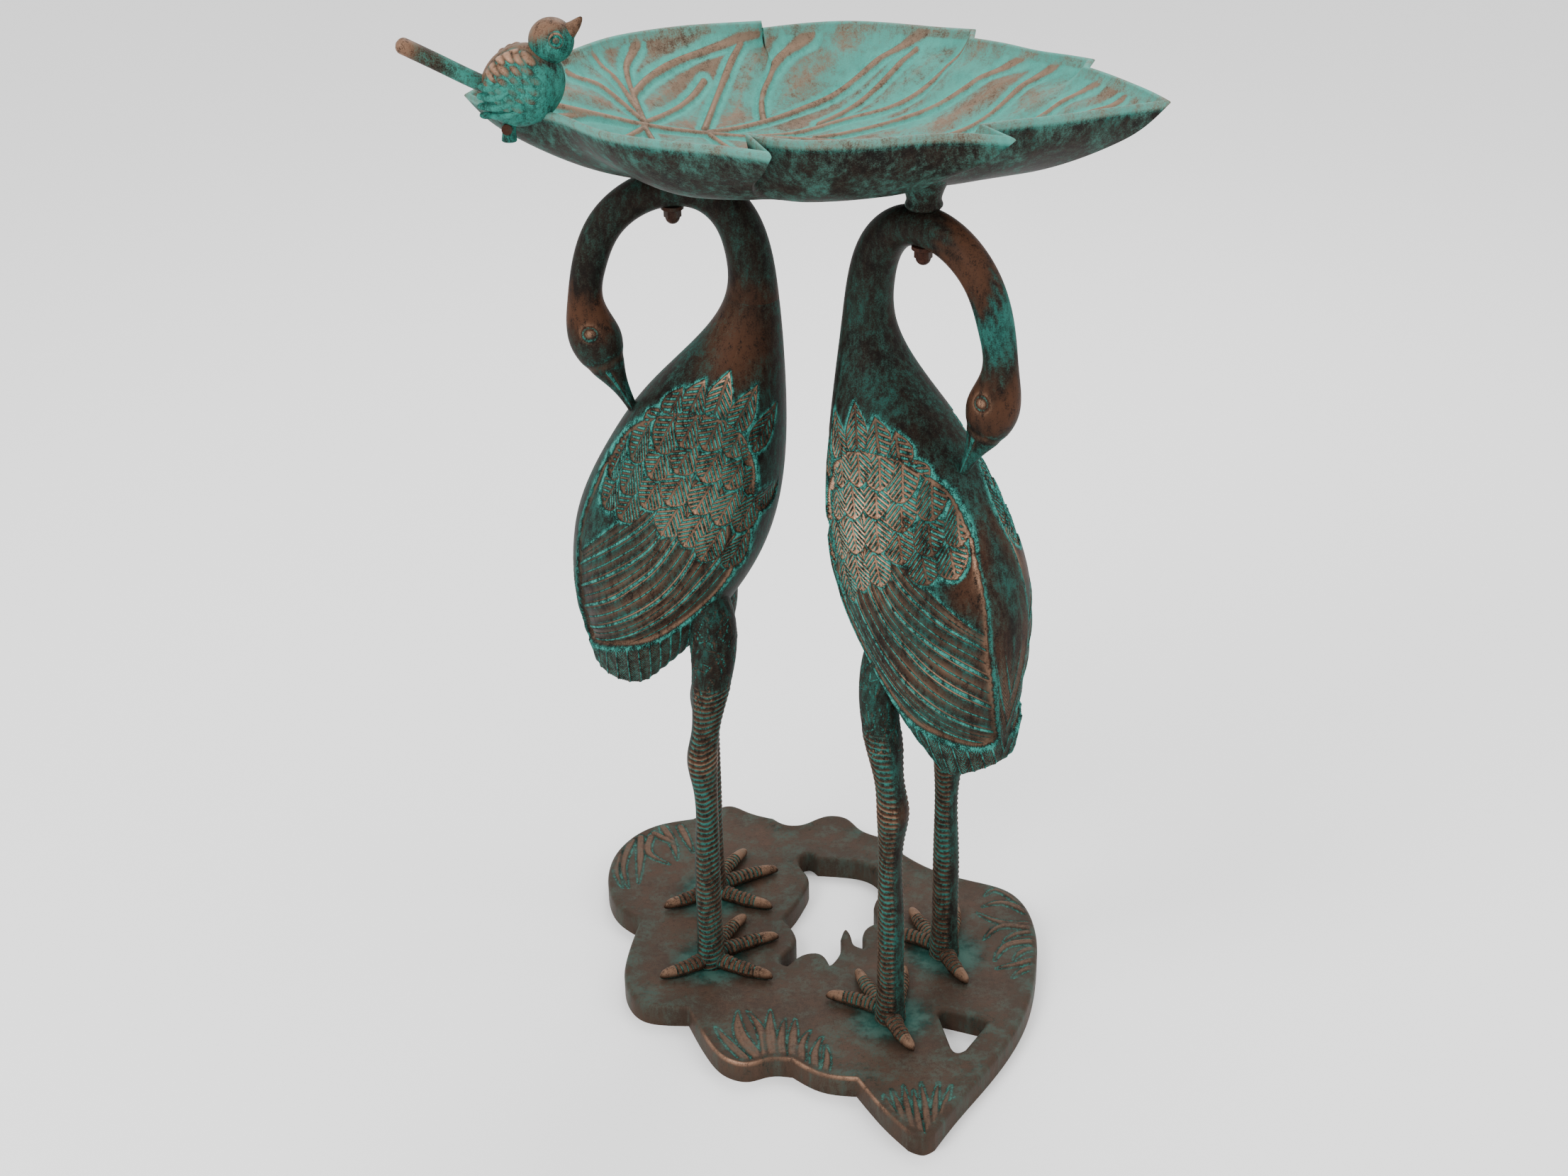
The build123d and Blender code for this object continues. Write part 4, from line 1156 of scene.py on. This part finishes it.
def plate_mesh(loops, sides):
    """Points and triangles of the plate's top: its edges, rows that follow them and an even field."""
    def on_plate(points):
        edge, hole, window = loops
        return inside(points, edge) & ~inside(points, hole) & ~inside(points, window)

    low, high = loops[0].min(0), loops[0].max(0)
    columns, rows = np.meshgrid(np.arange(low[0], high[0], PLATE_SPACING),
                                np.arange(low[1], high[1], PLATE_SPACING * 0.866))
    columns = columns + (np.arange(rows.shape[0]) % 2)[:, None] * PLATE_SPACING / 2
    even = np.stack([columns.ravel(), rows.ravel()], 1)
    even = even[on_plate(even)]
    even = even[to_lines(even, sides) > PLATE_ROUND + 0.8]
    follow = edge_rows(loops)
    spot = follow[:, :2]
    fits = on_plate(spot)
    fits &= to_lines(spot, sides) > follow[:, 2] * 0.93
    flat = np.concatenate([*loops, even, spot[fits]])
    fixed, start = [], 0
    for loop in loops:
        count = len(loop)
        fixed.extend((start + i, start + (i + 1) % count) for i in range(count))
        start += count
    made = delaunay_2d_cdt([Vector(point) for point in flat.tolist()], fixed, [], 0, 1e-5)
    flat = np.array([tuple(point) for point in made[0]])
    faces = np.array(made[2])
    return flat, faces[on_plate(flat[faces].mean(1))]


def base_plate():
    loops = [outline_of(outline, PLATE_SPACING) for outline in (PLATE_EDGE, PLATE_HOLE, PLATE_WINDOW)]
    sides = [pair for loop in loops for pair in stretches(loop)]
    flat, faces = plate_mesh(loops, sides)
    away = to_lines(flat, sides)
    drop = PLATE_ROUND - np.sqrt(np.maximum(PLATE_ROUND ** 2 - np.maximum(PLATE_ROUND - away, 0) ** 2, 0))
    relief = plate_relief(flat) * smooth_step(1.0, 7.0, away)
    swell = 1.0 * np.sin(flat[:, 0] / 31 + 1) * np.sin(flat[:, 1] / 37) - 1.0
    top = PLATE_TOP - drop + relief + swell * smooth_step(2, 16, away) * 0.7
    under = np.where(away > PLATE_SKIRT, PLATE_UNDER, 0.0)
    count = len(flat)
    points = np.concatenate([np.column_stack([flat, top]), np.column_stack([flat, under])])
    all_faces = faces.tolist() + (faces[:, ::-1] + count).tolist()
    for first, second in free_edges(faces):
        all_faces.append([second, first, first + count, second + count])
    # Green round the feet and along the edge; a copper line on the front edge, rubbed metal and painted
    # highlight
    near_feet = np.min([np.linalg.norm(flat - spot, axis=1) for spot in foot_points()], axis=0)
    toward_front = smooth_step(-40, -120, flat[:, 1]) * smooth_step(90, 70, flat[:, 0])
    uneven = 0.55 + 0.3 * np.sin(flat[:, 0] / 9) * np.sin(flat[:, 1] / 7)
    # A copper line along the front edge: rubbed metal and a painted highlight where the rounded edge catches
    # the light.
    rim = bump(away - 1.0, 1.3) * toward_front * uneven
    wear_and_shade = 0.32 * smooth_step(0.5, 1.0, relief) + rim - 0.75 * smooth_step(-0.1, -0.6, relief)
    tops = {
        "wear_and_shade": np.clip(wear_and_shade, -1, 1),
        "teal": 0.75 * smooth_step(40, 10, near_feet) + 0.12 * smooth_step(26, 6, away),
        "warm": rim + 0.15 * smooth_step(0.6, 1.0, relief),
    }
    fields = {key: np.pad(values, (0, count)) for key, values in tops.items()}
    mesh_piece("base_plate_cast", points, all_faces, plate_metal, fields, "base_plate")


def free_edges(faces):
    """Edges used by one face only, in that face's direction."""
    pairs = np.concatenate([faces[:, [0, 1]], faces[:, [1, 2]], faces[:, [2, 0]]])
    key = np.sort(pairs, axis=1)
    _, first, times = np.unique(key, axis=0, return_index=True, return_counts=True)
    return pairs[first[times == 1]].tolist()


base_plate()

# --- small bird ----------------------------------------------------------------------------


LEVEL = np.array([0.0, 1.0, 0.0])
EGG_ROWS, EGG_COLUMNS = 170, 120
BIRD_EYE = (4.2, 13.5, 3.4)           # from the middle of the head
SCALLOP_CENTRE = (-164.5, 726.0)
SCALLOP_REACH = (17.0, 18.5)
SCALLOP_PITCH = (6.8, 5.8)
# Flight feathers low on each side: (front x, front height, rear x, rear height)
BIRD_FLIGHT = (
    (-172, 724, -188, 719.5), (-167, 719, -189.5, 713), (-164, 713, -189.5, 706.5),
    (-160, 707, -188.5, 700.5),
)
FLIGHT_SAG = 11.0
FLIGHT_OUT = 8.5             # a flight feather stays at least this far from the middle plane
BIRD_TAIL = ((-176, 0, 713.5), (-191, 0, 720.5), (-210, 0, 730.5), (-239, 0, 745.6))
UPPER_BEAK = ((-135, 0, 748.5), (-127.5, 0, 753), (-121, 0, 760))
LOWER_BEAK = ((-135, 0, 743.5), (-128, 0, 747.5), (-123.5, 0, 753))
STUB = ((-168, 0, 706), (-170, -1.0, 698), (-171, -1.6, 690), (-171.5, -1.8, 681))
BIRD_LEG = ((-177, -2, 707), (-174, -2.5, 699), (-170, -3, 693))


def egg(centre, halves, tilt):
    """Grid of an egg shape lying along the bird's middle plane, one end up by tilt degrees."""
    long, deep, wide = halves
    along_it = np.linspace(-math.pi / 2 + 0.02, math.pi / 2 - 0.02, EGG_ROWS)[:, None]
    turn = np.linspace(0, 2 * math.pi, EGG_COLUMNS, endpoint=False)[None, :]
    a = long * np.sin(along_it) + 0 * turn
    b = deep * np.cos(along_it) * np.cos(turn)
    cos, sin = math.cos(math.radians(tilt)), math.sin(math.radians(tilt))
    return np.stack([centre[0] + a * cos - b * sin, -wide * np.cos(along_it) * np.sin(turn),
                     centre[1] + a * sin + b * cos], -1)


def bird_side(x, z):
    """Half width of the bird's body at a place on its side."""
    cos, sin = math.cos(math.radians(BIRD_BODY_TILT)), math.sin(math.radians(BIRD_BODY_TILT))
    dx, dz = x - BIRD_BODY[0], z - BIRD_BODY[1]
    long, deep, wide = BIRD_BODY_HALF
    left = 1 - ((dx * cos + dz * sin) / long) ** 2 - ((dz * cos - dx * sin) / deep) ** 2
    return wide * np.sqrt(np.maximum(left, 0.08))


def bird_tube(points, count, wide, high, columns, wear_and_shade=0.0, teal=0.0, warm=0.0):
    """A tube along a smooth line; its half width and half height follow the share of the way along."""
    share = np.linspace(0, 1, count)
    rings = oval_tube(smooth_path(points, count), wide(share), high(share), LEVEL, columns)
    return rings, wear_and_shade, teal, warm


def bird_trunk():
    """Body with scale-like feathers on the shoulders, lowest row first."""
    body = egg(BIRD_BODY, BIRD_BODY_HALF, BIRD_BODY_TILT)
    x, y, z = body[..., 0], body[..., 1], body[..., 2]
    relief = 0 * x
    rng = np.random.default_rng(SEED + 30)
    for row in range(-3, 4):
        for column in range(-2, 4):
            spot = np.add(SCALLOP_CENTRE, (SCALLOP_PITCH[0] * (column - 0.5 * (row % 2)) - 1.5 * row,
                                           SCALLOP_PITCH[1] * row))
            spot_x, spot_z = spot + rng.uniform(-1.3, 1.3, 2)
            reach = np.subtract((spot_x, spot_z), SCALLOP_CENTRE) / SCALLOP_REACH
            if reach @ reach > 1:
                continue
            slant = 0.5 * (x - spot_x) + (z - spot_z)
            away = np.hypot((x - spot_x) * 0.85, slant * 1.25)
            cover = smooth_step(5.0, 3.6, away) * smooth_step(5, 9, np.abs(y))
            height = 2.3 + 0.20 * (spot_z - z) + 0.08 * (spot_x - x) - 0.08 * away ** 2
            relief = relief * (1 - cover) + height * cover
    back = smooth_step(716, 738, z - 0.45 * (x - BIRD_BODY[0]) - 0.35 * np.abs(y))
    warm = 0.8 * back + 0.25 * smooth_step(1.0, 2.2, relief)
    wear_and_shade = 0.55 * crest_and_hollow(relief, 12, 0.9) + 0.15 * back
    body += normals_of(body) * relief[..., None]
    return body, wear_and_shade, 0.25 * smooth_step(738, 712, z), warm


def bird_head():
    """Round head with ringed eyes and a rubbed crown."""
    head = egg(BIRD_HEAD, (BIRD_HEAD_RADIUS,) * 3, 0.0)
    crown = smooth_step(744, 758, head[..., 2] - 0.4 * (head[..., 0] - BIRD_HEAD[0]))
    middle = np.array((BIRD_HEAD[0], 0, BIRD_HEAD[1]))
    eye = BIRD_HEAD_RADIUS * np.array(BIRD_EYE) / np.linalg.norm(BIRD_EYE)
    apart = np.minimum(*(np.linalg.norm(head - middle - eye * (1, side, 1), axis=-1) for side in (1, -1)))
    lids = 1.1 * bump(apart - 4.3, 1.3) - 0.9 * bump(apart - 2.7, 1.0)
    lids += 1.3 * np.sqrt(np.clip(1 - (apart / 2.5) ** 2, 0, 1))
    head += normals_of(head) * lids[..., None]
    wear_and_shade = np.clip(0.2 * crown + crest_and_hollow(lids, 4, 0.5), -1, 1)
    return head, wear_and_shade, 0.25 * (1 - crown), 0.75 * crown


def bird_tail():
    """Long straight tail with a rounded, rubbed tip."""
    share = np.linspace(0, 1, 90)
    tail = smooth_path(BIRD_TAIL, len(share))
    end = np.sqrt(np.clip(1 - (np.clip(share - 0.93, 0, 1) / 0.07) ** 2, 0.004, 1))
    tip = smooth_step(0.72, 0.95, share)[:, None]
    rings = oval_tube(tail, 6.6 * end, 5.3 * end, LEVEL, 48)
    return rings, 0.22 * tip, 0.2 * bump(share - 0.35, 0.4)[:, None], 0.25 + 0.65 * tip


def flight_feather(side, x1, z1, x2, z2):
    """One flight feather lying against the side of the body."""
    share = np.linspace(0, 1, 40)
    x = x1 + (x2 - x1) * share
    z = z1 + (z2 - z1) * share - FLIGHT_SAG * share * (1 - share)
    outward = np.maximum(bird_side(x, z), FLIGHT_OUT) + 0.4
    taper = np.sqrt(np.clip(1 - (np.clip(share - 0.86, 0, 1) / 0.15) ** 2, 0.01, 1))
    taper *= 0.5 + 0.5 * smooth_step(0, 0.35, share)
    rings = oval_tube(np.stack([x, side * outward, z], 1), 2.6 * taper, 2.3 * taper, (0, 1, 0.2), 24)
    return rings, 0.15, 0.35, 0.0


def upper_beak_width(share):
    return 6.8 * (1 - share) ** 0.7 + 0.7


def leg_width(share):
    return 2.6 + 0 * share


def stub_width(share):
    return 6.4 - 1.4 * smooth_step(0, 0.45, share) + 0.5 * smooth_step(0.75, 1.0, share)


def small_bird():
    groups = [bird_trunk(), bird_head(), bird_tail()]
    groups.extend(flight_feather(side, *line) for side in (1, -1) for line in BIRD_FLIGHT)
    # Beak, a little open
    groups.append(bird_tube(UPPER_BEAK, 26, upper_beak_width, lambda share: upper_beak_width(share) - 0.6 * (
        1 - share) ** 0.7, 32, wear_and_shade=0.22, warm=0.6))
    groups.append(bird_tube(LOWER_BEAK, 20, lambda share: 4.4 * (1 - share) + 0.4,
                            lambda share: 3.6 * (1 - share) + 0.4, 32, teal=0.3))
    # The stub that hooks over the outside of the rim, and the leg beside it
    groups.append(bird_tube(STUB, 50, stub_width, lambda share: 0.9 * stub_width(share), 40, teal=0.15))
    groups.append(bird_tube(BIRD_LEG, 20, leg_width, leg_width, 24, teal=0.2))
    vertices, faces, fields = join_rings(groups)
    vertices = vertices + np.array([0, BIRD_SIDE, PLATE_TOP])
    mesh_piece("small_bird_cast", vertices, faces, bird_metal, fields, "small_bird")


small_bird()

# --- CAD nodes that are shown --------------------------------------------------------------

for node_name, slot_name, metal in (
    ("bowl_studs", "nut_brown", nut_metal), ("stud_washers", "nut_brown", nut_metal),
    ("dome_nuts", "nut_brown", nut_metal), ("foot_bolts", "bolt_steel", bolt_metal),
    ("foot_washers", "bolt_steel", bolt_metal), ("bird_screw", "nut_brown", nut_metal),
):
    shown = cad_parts[node_name]
    shown.data.materials.clear()
    shown.data.materials.append(metal)

# --- floor, light and camera ---------------------------------------------------------------

FLOOR_HALF = 4.0
SKY_STRENGTH = 1.45
floor_mesh = bpy.data.meshes.new("floor")
corners = [(x * FLOOR_HALF, y * FLOOR_HALF, 0) for x, y in ((-1, -1), (1, -1), (1, 1), (-1, 1))]
floor_mesh.from_pydata(corners, [], [(0, 1, 2, 3)])
floor = bpy.data.objects.new("floor", floor_mesh)
bpy.context.scene.collection.objects.link(floor)
floor_paint = bpy.data.materials.new("pale_floor")
floor_paint.use_nodes = True
floor_shader = floor_paint.node_tree.nodes["Principled BSDF"]
floor_shader.inputs["Base Color"].default_value = (0.92, 0.92, 0.92, 1)
floor_shader.inputs["Roughness"].default_value = 0.9
floor_mesh.materials.append(floor_paint)

world = bpy.data.worlds.new("studio")
world.use_nodes = True
world.node_tree.nodes["Background"].inputs[0].default_value = (1.0, 1.0, 1.0, 1)
world.node_tree.nodes["Background"].inputs[1].default_value = SKY_STRENGTH
bpy.context.scene.world = world

# Soft lamps: (place, aimed at, size, power)
LAMPS = (
    ((-1.3, -1.1, 1.9), (0.0, 0.0, 0.42), 1.1, 36.0),
    ((1.7, -0.6, 1.3), (0.0, 0.0, 0.42), 1.2, 14.0),
    ((0.2, 1.3, 1.8), (0.0, 0.0, 0.6), 1.2, 22.0),
)
for index, (spot, aim, size, power) in enumerate(LAMPS):
    data = bpy.data.lights.new(f"lamp_{index}", "AREA")
    data.shape = "DISK"
    data.size = size
    data.energy = power
    lamp = bpy.data.objects.new(f"lamp_{index}", data)
    lamp.location = spot
    lamp.rotation_euler = (Vector(aim) - Vector(spot)).to_track_quat("-Z", "Y").to_euler()
    bpy.context.scene.collection.objects.link(lamp)

CAMERA_PLACE = (0.0, -1.57248, 1.20462)
CAMERA_PITCH = 28.5          # degrees below the horizon
CAMERA_ROLL = -1.0
camera_data = bpy.data.cameras.new("camera")
camera_data.lens = 56.96
camera_data.sensor_width = 36.0
camera_data.clip_start, camera_data.clip_end = 0.1, 50.0
camera = bpy.data.objects.new("camera", camera_data)
camera.location = CAMERA_PLACE
aimed = Euler((math.radians(90 - CAMERA_PITCH), 0, 0)).to_matrix()
rolled = aimed @ Matrix.Rotation(math.radians(CAMERA_ROLL), 3, "Z")
camera.rotation_euler = rolled.to_euler()
bpy.context.scene.collection.objects.link(camera)
bpy.context.scene.camera = camera
